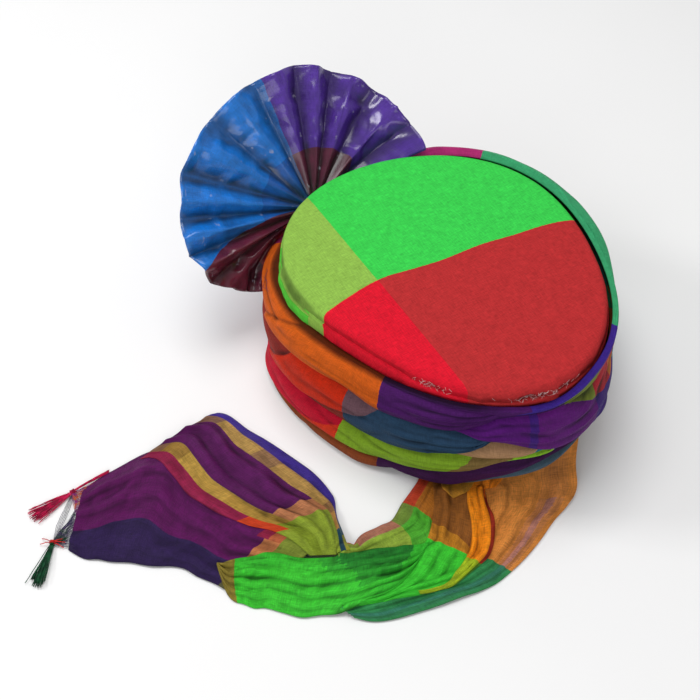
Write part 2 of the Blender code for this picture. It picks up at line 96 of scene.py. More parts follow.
back = Vector((sin(HEADING) * cos(DOWN), -cos(HEADING) * cos(DOWN), sin(DOWN)))
right = Vector((cos(HEADING), sin(HEADING), 0))
up = back.cross(right)
spot = AIM + back * DISTANCE
spot -= right * (AIM_AT[0] - FRAME / 2) * DISTANCE / FOCAL + up * (FRAME / 2 - AIM_AT[1]) * DISTANCE / FOCAL
lens = bpy.data.cameras.new("camera")
lens.sensor_width = 36
lens.lens = FOCAL / FRAME * lens.sensor_width
camera = linked("camera", lens)
camera.matrix_world = Matrix((
    (right.x, up.x, back.x, spot.x),
    (right.y, up.y, back.y, spot.y),
    (right.z, up.z, back.z, spot.z),
    (0, 0, 0, 1),
))
bpy.context.scene.camera = camera
print("camera at", [round(c, 3) for c in spot])

# %% [markdown]
# The cloth has strong, clean colours, so the studio is plain: a pale floor, an even sky, and large soft lamps.
# The lamp on the fan's side is the one that draws the highlights on its starched pleats.

# %% Floor
def plain_material(name, colour, roughness):
    """Material of one colour, broken up by faint noise."""
    material, tree, shader = new_material(name)
    shader.inputs["Roughness"].default_value = roughness
    speck = tree.nodes.new("ShaderNodeTexNoise")
    speck.inputs["Scale"].default_value = 40.0
    shade = add_mix(tree, speck.outputs["Fac"], colour, tuple(c * 0.97 for c in colour))
    tree.links.new(shade, shader.inputs["Base Color"])
    return material


FLOOR_SIZE = 6.0
floor_mesh = bpy.data.meshes.new("floor")
half = FLOOR_SIZE / 2
floor_corners = [(-half, -half, 0), (half, -half, 0), (half, half, 0), (-half, half, 0)]
floor_mesh.from_pydata(floor_corners, [], [(0, 1, 2, 3)])
floor_piece = linked("floor", floor_mesh)
floor_mesh.materials.append(plain_material("pale_floor", (0.90, 0.90, 0.90), 0.9))

# %% Lamps and sky
def lamp(name, place, aim, size, power, colour=(1, 1, 1)):
    """Square soft lamp that looks at a point."""
    light = bpy.data.lights.new(name, "AREA")
    light.shape = "SQUARE"
    light.size = size
    light.energy = power
    light.color = colour
    holder = linked(name, light)
    holder.location = place
    holder.rotation_euler = (Vector(aim) - Vector(place)).to_track_quat("-Z", "Y").to_euler()


SKY = 0.42
world = bpy.data.worlds.new("studio")
world.use_nodes = True
sky = world.node_tree.nodes["Background"]
sky.inputs["Color"].default_value = (1, 1, 1, 1)
sky.inputs["Strength"].default_value = SKY
bpy.context.scene.world = world
bpy.context.scene.view_settings.view_transform = "Standard"
lamp("key", (0.05, -0.35, 1.75), (0.08, 0, 0.05), 0.9, 15.0)
lamp("fan_side", (0.9, -1.1, 1.1), (0.05, -0.1, 0.1), 0.40, 8.0)
lamp("fill", (1.2, 0.9, 0.9), (0.05, 0.05, 0.05), 0.9, 6.0)
print("three lamps under a sky of", SKY)

# %% [markdown]
# ## Shared helpers
#
# The bands and the tail follow the same rules as the solids, so the script repeats the source's formulas: a smooth
# curve through a table, a soft step, and the crown's outline in plan.

# %% Curves and steps
def curve_value(rows, column, at, period=None):
    """Height of the smooth curve that passes through one column of a table, whose first column is the place."""
    places = [row[0] for row in rows]
    values = [row[column] for row in rows]
    if period:
        at = at % period
        places = [places[-1] - period] + places + [places[0] + period, places[1] + period]
        values = [values[-1]] + values + [values[0], values[1]]
    at = min(max(at, places[0]), places[-1])
    k = max(i for i in range(len(places) - 1) if places[i] <= at)

    def slope(i):
        low = max(i - 1, 0)
        high = min(i + 1, len(places) - 1)
        return (values[high] - values[low]) / (places[high] - places[low])

    step = places[k + 1] - places[k]
    t = (at - places[k]) / step
    first = (1 + 2 * t) * (1 - t) ** 2 * values[k] + t * (1 - t) ** 2 * step * slope(k)
    last = t * t * (3 - 2 * t) * values[k + 1] - t * t * (1 - t) * step * slope(k + 1)
    return first + last


def ease(t):
    """0 to 1 along a soft step."""
    t = min(max(t, 0.0), 1.0)
    return t * t * (3 - 2 * t)


def by_angle(rows, angle):
    """Value at an angle in radians of a table whose places are degrees around the turban."""
    return curve_value(rows, 1, degrees(angle), 360)


def rumple(x, y, seed):
    """Smooth noise between about -1 and 1."""
    return noise.noise(Vector((x, y, seed * 7.3)))


def crease(x, y, seed):
    """Noise folded along its zero line: 1 on a sharp ridge, 0 away from it."""
    return max(0.0, 1 - 3.2 * abs(rumple(x, y, seed)))


# %% Outlines of the crown and of the head
CROWN_LENGTH = 0.248
CROWN_WIDTH = 0.204
CROWN_CORNER = 0.006
CORNER_ANGLE = radians(72.5)
HEIGHT = 0.118
HEAD_LENGTH = 0.196
HEAD_WIDTH = 0.160
CAP_WALL = 0.0025
CROWN_PAD = 0.010
FLARE_START = 0.52
FLARE_END = 0.85
LEDGE_END = 0.90


def crown_radius(angle):
    oval = (CROWN_LENGTH + CROWN_WIDTH) / 4 + (CROWN_WIDTH - CROWN_LENGTH) / 4 * cos(2 * angle)
    return oval + CROWN_CORNER * cos(3 * (angle - CORNER_ANGLE))


def head_radius(angle):
    return (HEAD_LENGTH + HEAD_WIDTH) / 4 + (HEAD_WIDTH - HEAD_LENGTH) / 4 * cos(2 * angle)


def cap_radius(angle, z):
    """Outside of the cap that the cloth is wound on."""
    wall = head_radius(angle) + CAP_WALL
    side = crown_radius(angle)
    share = z / HEIGHT
    if share <= FLARE_END:
        return wall + (side - wall) * ease((share - FLARE_START) / (FLARE_END - FLARE_START))
    return side + CAP_WALL / 2 * ease((share - FLARE_END) / (LEDGE_END - FLARE_END))


def place(radius, angle, z):
    return Vector((radius * cos(angle), radius * sin(angle), z))


# %% [markdown]
# Every cloth piece is a grid of points, row by row. Each point also gets two addresses: one in the pattern of the
# checks, in whatever units suit the piece, and one in metres for the threads. They become two UV maps, so that a
# colour change runs exactly where the cloth's own line runs, however the piece is folded. A third map holds painted
# shade: how far the colour is darkened where a point lies deep in a fold, standing in for the shade that falls
# there.

# %% Grid of cloth
def cloth_grid(name, points, checks, threads, around=False, flip=False, painted_shade=None):
    """Piece from rows of points, with its UV maps. With around, the last column meets the first."""
    rows = len(points)
    columns = len(points[0])
    count = columns - 1 if around else columns
    flat = [p for row in points for p in row[:count]]
    faces = []
    corners = []
    for i in range(rows - 1):
        for j in range(columns - 1):
            ring = ((i, j), (i, j + 1), (i + 1, j + 1), (i + 1, j))
            ring = ring[::-1] if flip else ring
            faces.append([r * count + c % count for r, c in ring])
            corners += ring
    mesh = bpy.data.meshes.new(name)
    mesh.from_pydata(flat, [], faces)
    sunk = [[(h, 0.0) for h in row] for row in painted_shade] if painted_shade else [[(0.0, 0.0)] * columns] * rows
    for label, table in (("checks", checks), ("threads", threads), ("painted_shade", sunk)):
        layer = mesh.uv_layers.new(name=label)
        layer.data.foreach_set("uv", [value for r, c in corners for value in table[r][c]])
    body = bmesh.new()
    body.from_mesh(mesh)
    bmesh.ops.remove_doubles(body, verts=body.verts, dist=1e-6)
    body.to_mesh(mesh)
    body.free()
    mesh.shade_smooth()
    return linked(name, mesh)


def surface_of(piece):
    """Tree that rays can be cast at."""
    return BVHTree.FromPolygons([v.co for v in piece.data.vertices], [p.vertices[:] for p in piece.data.polygons])


def finished(piece, *modifiers):
    """Applies modifiers, given as (type, settings), and leaves a plain mesh."""
    for kind, settings in modifiers:
        modifier = piece.modifiers.new(kind.lower(), kind)
        for key, value in settings.items():
            setattr(modifier, key, value)
    graph = bpy.context.evaluated_depsgraph_get()
    mesh = bpy.data.meshes.new_from_object(piece.evaluated_get(graph))
    piece.modifiers.clear()
    piece.data = mesh
    mesh.name = piece.name
    return piece


def sunken(values, depth, reach=2):
    """How far each value of a row lies below its neighbours: 0 to 1 at the given depth."""
    last = len(values) - 1
    around = [(values[max(j - reach, 0)] + values[min(j + reach, last)]) / 2 for j in range(last + 1)]
    return [min(max((a - v) / depth, 0.0), 1.0) for a, v in zip(around, values)]


def lengths(points):
    """Mean width and mean length of a grid of points, as the cloth would measure laid flat."""
    along = [sum((b[j] - a[j]).length for a, b in zip(points, points[1:])) for j in range(len(points[0]))]
    across = [sum((b - a).length for a, b in zip(row, row[1:])) for row in points]
    return sum(across) / len(across), sum(along) / len(along)


# %% [markdown]
# ## The weave
#
# The real cloth is a thin plain weave of silk and cotton in large checks. Seen up close it has fine ribs, slubs
# where a thread is thicker, and small changes of shade. One node group makes all of that from the thread address,
# and each material places it with its own values.

# %% Node group: weave
def group_socket(tree, name, kind, way, value=None):
    """Adds an input or an output to a node group."""
    item = tree.interface.new_socket(name=name, in_out=way, socket_type=kind)
    if value is not None:
        item.default_value = value


def add_math(tree, operation, a, b=None, clamp=False):
    """Math node; a and b are sockets or numbers."""
    node = tree.nodes.new("ShaderNodeMath")
    node.operation = operation
    node.use_clamp = clamp
    for index, value in enumerate((a, b)):
        if value is None:
            continue
        if isinstance(value, (int, float)):
            node.inputs[index].default_value = value
        else:
            tree.links.new(value, node.inputs[index])
    return node.outputs[0]


def add_noise(tree, vector, scale, stretch=(1, 1, 1), detail=2.0):
    """Noise texture on a stretched address."""
    mapping = tree.nodes.new("ShaderNodeMapping")
    mapping.inputs["Scale"].default_value = stretch
    tree.links.new(vector, mapping.inputs["Vector"])
    texture = tree.nodes.new("ShaderNodeTexNoise")
    texture.inputs["Scale"].default_value = scale
    texture.inputs["Detail"].default_value = detail
    tree.links.new(mapping.outputs["Vector"], texture.inputs["Vector"])
    return texture.outputs["Fac"]


def uv_address(tree, name):
    """Address of a point in one of its UV maps."""
    node = tree.nodes.new("ShaderNodeUVMap")
    node.uv_map = name
    return node.outputs[0]


def split_address(tree, vector):
    """Outputs X, Y and Z of a vector."""
    node = tree.nodes.new("ShaderNodeSeparateXYZ")
    tree.links.new(vector, node.inputs[0])
    return node.outputs


def scaled(tree, vector, factor):
    """Vector or colour times a number; both are sockets."""
    node = tree.nodes.new("ShaderNodeVectorMath")
    node.operation = "SCALE"
    tree.links.new(vector, node.inputs[0])
    tree.links.new(factor, node.inputs["Scale"])
    return node.outputs[0]


weave = bpy.data.node_groups.new("weave", "ShaderNodeTree")
group_socket(weave, "Threads", "NodeSocketVector", "INPUT")
group_socket(weave, "Colour", "NodeSocketColor", "INPUT", (0.5, 0.5, 0.5, 1))
group_socket(weave, "Pitch", "NodeSocketFloat", "INPUT", 0.0009)
group_socket(weave, "Slub", "NodeSocketFloat", "INPUT", 0.25)
group_socket(weave, "Mottle", "NodeSocketFloat", "INPUT", 0.2)
group_socket(weave, "Colour", "NodeSocketColor", "OUTPUT")
group_socket(weave, "Height", "NodeSocketFloat", "OUTPUT")
source = weave.nodes.new("NodeGroupInput")
target = weave.nodes.new("NodeGroupOutput")
thread_address = source.outputs["Threads"]
split = split_address(weave, thread_address)
ribs = []
for axis in ("X", "Y"):
    turns = add_math(weave, "DIVIDE", split[axis], source.outputs["Pitch"])
    wave = add_math(weave, "SINE", add_math(weave, "MULTIPLY", turns, 2 * pi))
    ribs.append(add_math(weave, "MULTIPLY", wave, wave))
rib = add_math(weave, "MULTIPLY", add_math(weave, "ADD", *ribs), 0.5)
slub_along = add_noise(weave, thread_address, 1.0, (170, 1500, 1))
slub_across = add_noise(weave, thread_address, 1.0, (1500, 170, 1))
slub = add_math(weave, "SUBTRACT", add_math(weave, "ADD", slub_along, slub_across), 1.0)
mottle = add_math(weave, "SUBTRACT", add_noise(weave, thread_address, 110.0, (1, 1, 1), 6.0), 0.5)
change = add_math(weave, "MULTIPLY", slub, source.outputs["Slub"])
change = add_math(weave, "ADD", change, add_math(weave, "MULTIPLY", mottle, source.outputs["Mottle"]))
shade = add_math(weave, "ADD", add_math(weave, "MULTIPLY", change, 2.0), 1.0)
weave.links.new(scaled(weave, source.outputs["Colour"], shade), target.inputs["Colour"])
height = add_math(weave, "ADD", rib, add_math(weave, "MULTIPLY", slub, 1.5))
weave.links.new(height, target.inputs["Height"])
print("weave group with", len(weave.nodes), "nodes")

# %% [markdown]
# A ramp with hard steps turns the address along the cloth into a colour, and where the cloth has lengthwise
# stripes, one ramp is made for each stripe. A little noise on the address gives the boundary the ragged edge that
# single threads leave.

# %% Checked cloth material
def linear(code):
    """Linear colour from a hex code."""
    channels = [int(code[i:i + 2], 16) / 255 for i in (0, 2, 4)]
    return tuple(c / 12.92 if c <= 0.04045 else ((c + 0.055) / 1.055) ** 2.4 for c in channels)


def check_ramp(tree, address, stops):
    """Hard-stepped ramp over an address; stops are (from, colour code)."""
    low = stops[0][0]
    high = stops[-1][0] + 1.0 if len(stops) == 1 else stops[-1][0] + (stops[-1][0] - low) * 0.05
    share = add_math(tree, "DIVIDE", add_math(tree, "SUBTRACT", address, low), high - low, clamp=True)
    ramp = tree.nodes.new("ShaderNodeValToRGB")
    ramp.color_ramp.interpolation = "CONSTANT"
    elements = ramp.color_ramp.elements
    for number, (start, code) in enumerate(stops):
        at = (start - low) / (high - low)
        element = elements[number] if number < 2 else elements.new(at)
        element.position = at
        element.color = (*linear(code), 1)
    if len(stops) == 1:
        elements[1].color = (*linear(stops[0][1]), 1)
    tree.links.new(share, ramp.inputs["Fac"])
    return ramp.outputs["Color"]


def cloth_material(name, stripes, ragged=(0.3, 0.002), roughness=0.8, sheen=0.0, pitch=0.0012, slub=0.34,
                   mottle=0.22, bump=0.6, coat=0.0, gold=(), gloss_level=0.12, painted_fold_shade=0.75):
    """Woven cloth. stripes are (from, stops) across it, each with its own ramp along it; gold has metal thread.
    ragged is how far the threads stray along and across, and the last setting is how dark the painted shade
    at the bottom of a fold gets."""
    material, tree, shader = new_material(name)
    address = split_address(tree, uv_address(tree, "checks"))
    threads = uv_address(tree, "threads")
    wobble = add_math(tree, "SUBTRACT", add_noise(tree, threads, 1.0, (900, 900, 1), 1.0), 0.5)
    along = add_math(tree, "ADD", address["X"], add_math(tree, "MULTIPLY", wobble, ragged[0]))
    across = add_math(tree, "ADD", address["Y"], add_math(tree, "MULTIPLY", wobble, ragged[1]))
    colour = check_ramp(tree, along, stripes[0][1])
    for start, stops in stripes[1:]:
        beyond = add_math(tree, "GREATER_THAN", across, start)
        colour = add_mix(tree, beyond, colour, check_ramp(tree, along, stops))
    woven = tree.nodes.new("ShaderNodeGroup")
    woven.node_tree = weave
    tree.links.new(threads, woven.inputs["Threads"])
    tree.links.new(colour, woven.inputs["Colour"])
    woven.inputs["Pitch"].default_value = pitch
    woven.inputs["Slub"].default_value = slub
    woven.inputs["Mottle"].default_value = mottle
    # painted shade: the colour is darkened by how deep the point lies in a fold, read from the third UV map
    depth = split_address(tree, uv_address(tree, "painted_shade"))["X"]
    painted_shade_factor = add_math(tree, "SUBTRACT", 1.0, add_math(tree, "MULTIPLY", depth, painted_fold_shade))
    tree.links.new(scaled(tree, woven.outputs["Colour"], painted_shade_factor), shader.inputs["Base Color"])
    relief = tree.nodes.new("ShaderNodeBump")
    relief.inputs["Strength"].default_value = bump
    relief.inputs["Distance"].default_value = pitch / 2
    tree.links.new(woven.outputs["Height"], relief.inputs["Height"])
    tree.links.new(relief.outputs["Normal"], shader.inputs["Normal"])
    uneven = add_math(tree, "MULTIPLY", add_noise(tree, threads, 90.0), 0.2)
    tree.links.new(add_math(tree, "ADD", uneven, roughness - 0.1), shader.inputs["Roughness"])
    metal = None
    for start, end in gold:
        inside = add_math(tree, "MULTIPLY", add_math(tree, "GREATER_THAN", across, start),
                          add_math(tree, "LESS_THAN", across, end))
        metal = inside if metal is None else add_math(tree, "ADD", metal, inside)
    if metal is not None:
        tree.links.new(add_math(tree, "MULTIPLY", metal, 0.6), shader.inputs["Metallic"])
    shader.inputs["Sheen Weight"].default_value = sheen
    shader.inputs["Sheen Roughness"].default_value = 0.4
    shader.inputs["Specular IOR Level"].default_value = gloss_level
    shader.inputs["Coat Weight"].default_value = coat
    shader.inputs["Coat Roughness"].default_value = 0.17
    return material


def dress(piece, material, node_names):
    """Gives a piece its material and its place on the body, and hides the CAD nodes that it stands for."""
    piece.data.materials.clear()
    piece.data.materials.append(material)
    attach(piece, "root")
    if node_names:
        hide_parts(*node_names)


# %% [markdown]
# ## The padded crown
#
# The flat top is a round pad covered in checked cloth. One check line crosses it nearly straight, the other drifts,
# because the cover was pulled over the pad by hand. Both lines are measured in plan, and the address of a point is
# simply its distance from each line. The cover turns over a soft shoulder and runs down the side in small puckers,
# and where the next check begins it stands out from the pad as a short skirt.

# %% Crown: the two check lines
CHECK_HEADING = radians(76.7)       # the straight line, in plan
CHECK_OFFSET = -0.0552              # its distance from the middle
DRIFT_HEADING = radians(161.7)      # the drifting line
DRIFT = (
    # along   off the middle
    (-0.120, -0.0095),
    (-0.100, -0.0055),
    (-0.084, -0.0011),
    (-0.053, 0.0049),
    (-0.030, 0.0031),
    (-0.007, 0.0013),
    (0.026, 0.0023),
    (0.043, 0.0011),
    (0.084, -0.0011),
    (0.104, -0.0055),
    (0.125, -0.0100),
)


def crown_address(x, y):
    """Distances from the straight line and from the drifting line."""
    straight = -x * sin(CHECK_HEADING) + y * cos(CHECK_HEADING) - CHECK_OFFSET
    along = x * cos(DRIFT_HEADING) + y * sin(DRIFT_HEADING)
    off = -x * sin(DRIFT_HEADING) + y * cos(DRIFT_HEADING)
    return straight, off - curve_value(DRIFT, 1, along)


# %% Crown: the cover
CROWN_STATIONS = 300
SKIRT_END = 0.60            # height of the cover's lower edge, as a share of HEIGHT
LIME_SHADE = 0.55           # shade that the shoulder begins with beside the lime check
SHOULDER_IN = 0.0042
SHOULDER_DOWN = 0.0052
FLARE_REACH = 0.0072        # how far the skirt stands out at the most
NEXT_CHECK = 0.3            # length of a check of the cloth, in metres, and so where the next one begins
SKIRT_FLARE = (
    # angle  share of that reach
    (0, 0.05),
    (40, 0.05),
    (70, 0.08),
    (85, 0.28),
    (115, 0.28),
    (200, 0.20),
    (290, 0.15),
    (306, 0.30),
    (318, 0.60),
    (328, 0.80),
    (335, 0.45),
    (342, 0.10),
)
PUCKERS = (
    # angle  strength: how deep the puckers of the side are
    (0, 0.5),
    (30, 0.7),
    (45, 0.6),
    (60, 1.7),
    (72, 2.2),
    (85, 1.4),
    (120, 0.5),
    (200, 0.4),
    (270, 0.5),
    (330, 0.6),
)


def crown_profile():
    """Path from the middle of the top, over the side to the skirt's edge, and back under the pad: (part, share)."""
    steps = [("top", s) for s in (0.0, 0.04, 0.1, 0.18, 0.27, 0.36, 0.45, 0.54, 0.63, 0.71, 0.78, 0.84, 0.89, 0.93)]
    steps += [("shoulder", i / 9) for i in range(10)]
    steps += [("side", i / 22) for i in range(1, 23)]
    steps += [("inside", i / 6) for i in range(7)]
    steps += [("under", s) for s in (0.7, 0.35, 0.0)]
    return steps


def pucker(angle):
    """How far a pucker of the side stands out, about -1 to 1."""
    return rumple(cos(angle) * 9, sin(angle) * 9, 3) + 0.6 * rumple(cos(angle) * 24, sin(angle) * 24, 4)


def crown_point(part, share, angle):
    """Point of the cover at a place of its profile and an angle."""
    edge = crown_radius(angle)
    if part == "top":
        radius = (edge - SHOULDER_IN) * share
        x, y = radius * cos(angle), radius * sin(angle)
        across = -x * sin(CHECK_HEADING) + y * cos(CHECK_HEADING)
        along = x * cos(CHECK_HEADING) + y * sin(CHECK_HEADING)
        soft = 0.0005 * rumple(across * 30, along * 9, 1) + 0.0004 * rumple(x * 60, y * 60, 2)
        return place(radius, angle, HEIGHT + 0.0015 * (1 - share * share) + soft * ease(share * 3))
    strength = by_angle(PUCKERS, angle)
    ripple = pucker(angle)
    top = HEIGHT - SHOULDER_DOWN
    if part == "shoulder":
        bend = share * pi / 2
        radius = edge - SHOULDER_IN + SHOULDER_IN * sin(bend) + 0.0009 * strength * ripple * share
        return place(radius, angle, top + SHOULDER_DOWN * cos(bend))
    if part == "side":
        z = top + (SKIRT_END * HEIGHT - top) * share
        loose = 1 - ease((share - 0.35) / 0.35)
        standing = by_angle(SKIRT_FLARE, angle)
        hollow = 0.0005 * ease(share / 0.12) * (1 - ease((share - 0.14) / 0.10))
        flare = FLARE_REACH * standing * (0.5 * ease(share / 0.12) + 0.5 * ease((share - 0.16) / 0.08))
        radius = (edge - hollow + flare) * loose + (cap_radius(angle, z) + 0.0014) * (1 - loose)
        return place(radius + 0.0014 * strength * ripple * (1 + share) * loose, angle, z)
    under = HEIGHT - CROWN_PAD - 0.0002
    if part == "inside":
        z = SKIRT_END * HEIGHT + (under - SKIRT_END * HEIGHT) * share
        return place(cap_radius(angle, z) + 0.0003, angle, z)
    return place(edge * share, angle, under)


def crown_painted_shade(part, share, angle):
    """Depth of shade on the cover: under the shoulder, most where the skirt flares, and between the puckers."""
    if part not in ("shoulder", "side"):
        return 0.0
    flare = by_angle(SKIRT_FLARE, angle)
    lime_side_shade = ease((flare - 0.1) / 0.3) if degrees(angle) % 360 > 250 else 0.0
    if part == "shoulder":
        return LIME_SHADE * lime_side_shade * ease((share - 0.45) / 0.5)
    band = max(ease(share / 0.05), LIME_SHADE * lime_side_shade) * (1 - ease((share - 0.15) / 0.06))
    between = 0.7 * by_angle(PUCKERS, angle) * max(0.0, -pucker(angle)) * ease(share / 0.06)
    return min(1.0, band * (0.35 + 0.5 * flare) + between)


def make_crown_cover():
    """Cover of the padded top, its side and its skirt."""
    angles = [2 * pi * i / CROWN_STATIONS for i in range(CROWN_STATIONS)]
    points = []
    painted_shade = []
    checks = []
    threads = []
    for part, share in crown_profile():
        row = [crown_point(part, share, angle) for angle in angles]
        points.append(row + row[:1])
        # painted shade under the shoulder, deepest beside the lime skirt, and between the puckers of the side
        painted_shade.append([crown_painted_shade(part, share, angle) for angle in angles + [2 * pi]])
        addresses = [crown_address(p.x, p.y) for p in points[-1]]
        if part in ("inside", "under") or (part == "side" and share > 0.20):
            # where the skirt flares out, the next check of the cloth begins
            flared = [by_angle(SKIRT_FLARE, atan2(p.y, p.x)) > 0.3 for p in points[-1]]
            addresses = [(x - NEXT_CHECK if far and y > 0 else x, y) for (x, y), far in zip(addresses, flared)]
        checks.append(addresses)
        # the threads follow the checks, and the side is unrolled so that they run on down it
        turn = Matrix.Rotation(-CHECK_HEADING, 2)
        row = []
        for p in points[-1]:
            reach = 1 + max(0.0, HEIGHT - p.z) / max(hypot(p.x, p.y), 0.01)
            row.append(tuple(turn @ Vector((p.x * reach, p.y * reach))))
        threads.append(row)
    return cloth_grid("crown_cover", points, checks, threads, around=True, flip=True, painted_shade=painted_shade)


crown_cover = make_crown_cover()
LIME, GREEN, CRIMSON, BRICK = "93C050", "3DD452", "E2182F", "BE3032"
crown_cloth = cloth_material("crown_cloth", (
    (-1.0, ((-1.0, CRIMSON), (0.0, BRICK))),
    (0.0, ((-0.5, "58C83C"), (-0.18, LIME), (0.0, GREEN))),
), ragged=(0.0008, 0.0008), roughness=0.88, mottle=0.16)
print("crown cover:", len(crown_cover.data.polygons), "faces")
dress(crown_cover, crown_cloth, ["crown"])

# %% [markdown]
# Below the cover is the cap that the head goes into. It is plain cloth, straight where it holds the head and flared
# where it meets the crown, so one closed section swept around the oval makes it.

# %% Cap
def make_cap():
    """Cap from its closed section, swept around the oval."""
    outside = [(share, 1) for share in (0.0, 0.02, 0.15, 0.3, 0.45, 0.52, 0.6, 0.68, 0.76, 0.85, 0.9075)]
    inside = [(share, 0) for share in (0.9075, 0.7, 0.5, 0.3, 0.15, 0.02, 0.0)]
    points = []
    checks = []
    threads = []
    for share, side in outside + inside + outside[:1]:
        z = share * HEIGHT
        row = []
        for i in range(CROWN_STATIONS + 1):
            angle = 2 * pi * (i % CROWN_STATIONS) / CROWN_STATIONS
            soft = 0.0004 * rumple(cos(angle) * 8, sin(angle) * 8 + share * 3, 9)
            radius = cap_radius(angle, z) - 0.0003 if side else head_radius(angle) + 0.0004 + soft
            row.append(place(radius, angle, z))
        points.append(row)
        checks.append([(i * 0.4, share) for i in range(CROWN_STATIONS + 1)])
        threads.append([(i * 0.0022, z if side else 0.3 - z) for i in range(CROWN_STATIONS + 1)])
    return cloth_grid("cap_cloth", points, checks, threads, around=True)


cap_cloth = make_cap()
cap_weave = cloth_material("cap_weave", ((-1.0, ((0.0, "8E9A50"),)),), roughness=0.85)
dress(cap_cloth, cap_weave, ["cap", "cap_flare"])
print("cap:", len(cap_cloth.data.polygons), "faces")

# %% [markdown]
# ## The wound bands
#
# Seven turns of cloth lie on each other like shingles. Each is a strip whose two edges are tucked in towards the cap
# and whose face bulges out, so a strip of points is swept around the turban between two edge curves. The edges are
# the curves that the solids follow, as shares of the turban's height, drawn a little nearer to the photograph.
# Long soft folds and a few sharp creases are added to the face.

# %% Wraps: the edges between them
WRAPS = ("wrap_top_roll", "wrap_cross_band", "wrap_upper_band", "wrap_tucked_band", "wrap_middle_band",
         "wrap_lower_band", "wrap_base_band")
EDGES = (
    # angle  top    roll   cross  upper  tucked middle lower  rim
    (0, 0.800, 0.640, 0.622, 0.300, 0.282, 0.125, 0.040, 0.0),
    (15, 0.810, 0.605, 0.587, 0.315, 0.297, 0.140, 0.045, 0.004),
    (30, 0.850, 0.640, 0.622, 0.390, 0.370, 0.185, 0.070, 0.035),
    (45, 0.895, 0.700, 0.680, 0.515, 0.475, 0.330, 0.150, 0.090),
    (60, 0.905, 0.850, 0.662, 0.630, 0.525, 0.465, 0.345, 0.265),
    (75, 0.870, 0.848, 0.520, 0.500, 0.475, 0.435, 0.390, 0.310),
    (90, 0.945, 0.885, 0.455, 0.435, 0.415, 0.380, 0.340, 0.300),
    (110, 0.960, 0.880, 0.470, 0.420, 0.395, 0.260, 0.180, 0.130),
    (135, 0.960, 0.860, 0.500, 0.390, 0.360, 0.215, 0.070, 0.0),
    (200, 0.965, 0.850, 0.560, 0.360, 0.330, 0.170, 0.055, 0.0),
    (225, 0.950, 0.830, 0.590, 0.355, 0.328, 0.155, 0.048, 0.0),
    (235, 0.900, 0.770, 0.590, 0.350, 0.325, 0.150, 0.045, 0.0),
    (248, 0.770, 0.665, 0.585, 0.340, 0.320, 0.140, 0.040, 0.0),
    (270, 0.700, 0.630, 0.580, 0.330, 0.310, 0.120, 0.035, 0.0),
    (288, 0.680, 0.605, 0.580, 0.315, 0.295, 0.105, 0.030, 0.0),
    (302, 0.760, 0.600, 0.580, 0.300, 0.280, 0.095, 0.028, 0.0),
    (315, 0.800, 0.600, 0.582, 0.280, 0.262, 0.085, 0.028, 0.0),
    (330, 0.800, 0.605, 0.587, 0.270, 0.252, 0.100, 0.034, 0.0),
)
PROFILE = (
    # height bulge  lean
    (0.00, -1.10, 1.00),
    (0.07, -0.60, 0.90),
    (0.25, 0.60, 0.35),
    (0.47, 1.02, 0.15),
    (0.68, 1.00, 0.05),
    (0.85, 0.90, 0.00),
    (0.95, 0.72, 0.00),
)
WRAP_BULGE = 0.0125
RIM_LEAN = 0.020
LEAN_ANGLE = radians(-15)
NEAR_ANGLE = radians(45)
CREASE_DEPTH = 0.0045
TUCK_DEPTH = 0.007
WRAP_DROOP = 0.0025
WRAP_DEPTH = 0.030
ROLL_SWELL = 0.008
NECK_SWELL = 0.003
WRAP_SET_BACK = 0.003
LOW_SWELL = 0.013           # how much fuller the lower bands are on the near side
SLACK = 0.001
GAP = 0.0003

# %% Fan: where it stands
FAN_RADIUS = 0.108
FAN_ROOT = 0.0065
FAN_PLEAT = 0.0065
FAN_ANGLE = radians(275.5)
FAN_HEIGHT = 0.088
FAN_STANDOFF = 0.007
FAN_TURN = radians(82.6)
FAN_TILT = radians(43.0)
FAN_CURL = 0.044
NECK_LENGTH = 0.024
NECK_THICKNESS = 0.007
NECK_WIDTH = 0.024
NECK_REACH = radians(9)
NECK_EASE = radians(15)
FAN_NORMAL = Vector((cos(FAN_TURN) * cos(FAN_TILT), sin(FAN_TURN) * cos(FAN_TILT), sin(FAN_TILT)))
FAN_UP = (Vector((0, 0, 1)) - FAN_NORMAL * FAN_NORMAL.z).normalized()
FAN_SIDE = FAN_NORMAL.cross(FAN_UP)
FAN_PIVOT = place(crown_radius(FAN_ANGLE) + FAN_STANDOFF, FAN_ANGLE, FAN_HEIGHT)


def near_fan(angle):
    """1 where the fan's neck passes between the cap and the wraps, 0 away from it."""
    off = abs((angle - FAN_ANGLE + pi) % (2 * pi) - pi)
    return 1 - ease((off - NECK_REACH) / NECK_EASE)


# %% Wraps: outside and inside of the wound cloth
def wound_radius(angle, z):
    share = z / HEIGHT
    bulge = WRAP_BULGE * curve_value(PROFILE, 1, share)
    lean = RIM_LEAN * curve_value(PROFILE, 2, share) * (0.5 + 0.5 * cos(angle - LEAN_ANGLE))
    far_side = ease((0.35 - cos(angle - NEAR_ANGLE)) / 0.7) * ease((share - 0.75) / 0.15)
    roll = ROLL_SWELL * far_side
    neck = NECK_SWELL * near_fan(angle) * ease(share * 2)
    set_back = WRAP_SET_BACK * sin(angle) * ease(share)
    low = LOW_SWELL * (1 - ease(share / 0.28)) * ease((cos(angle - radians(345)) - 0.72) / 0.2)
    return crown_radius(angle) + bulge + lean + roll + neck - set_back + low


def inner_radius(angle, z):
    on_cap = cap_radius(angle, z) + SLACK
    slope = FAN_UP.to_2d().length / FAN_UP.z
    behind_neck = FAN_PIVOT.to_2d().length + (z - FAN_HEIGHT) * slope + NECK_THICKNESS / 2 + 2 * SLACK
    return on_cap + max(0.0, behind_neck - on_cap) * near_fan(angle)


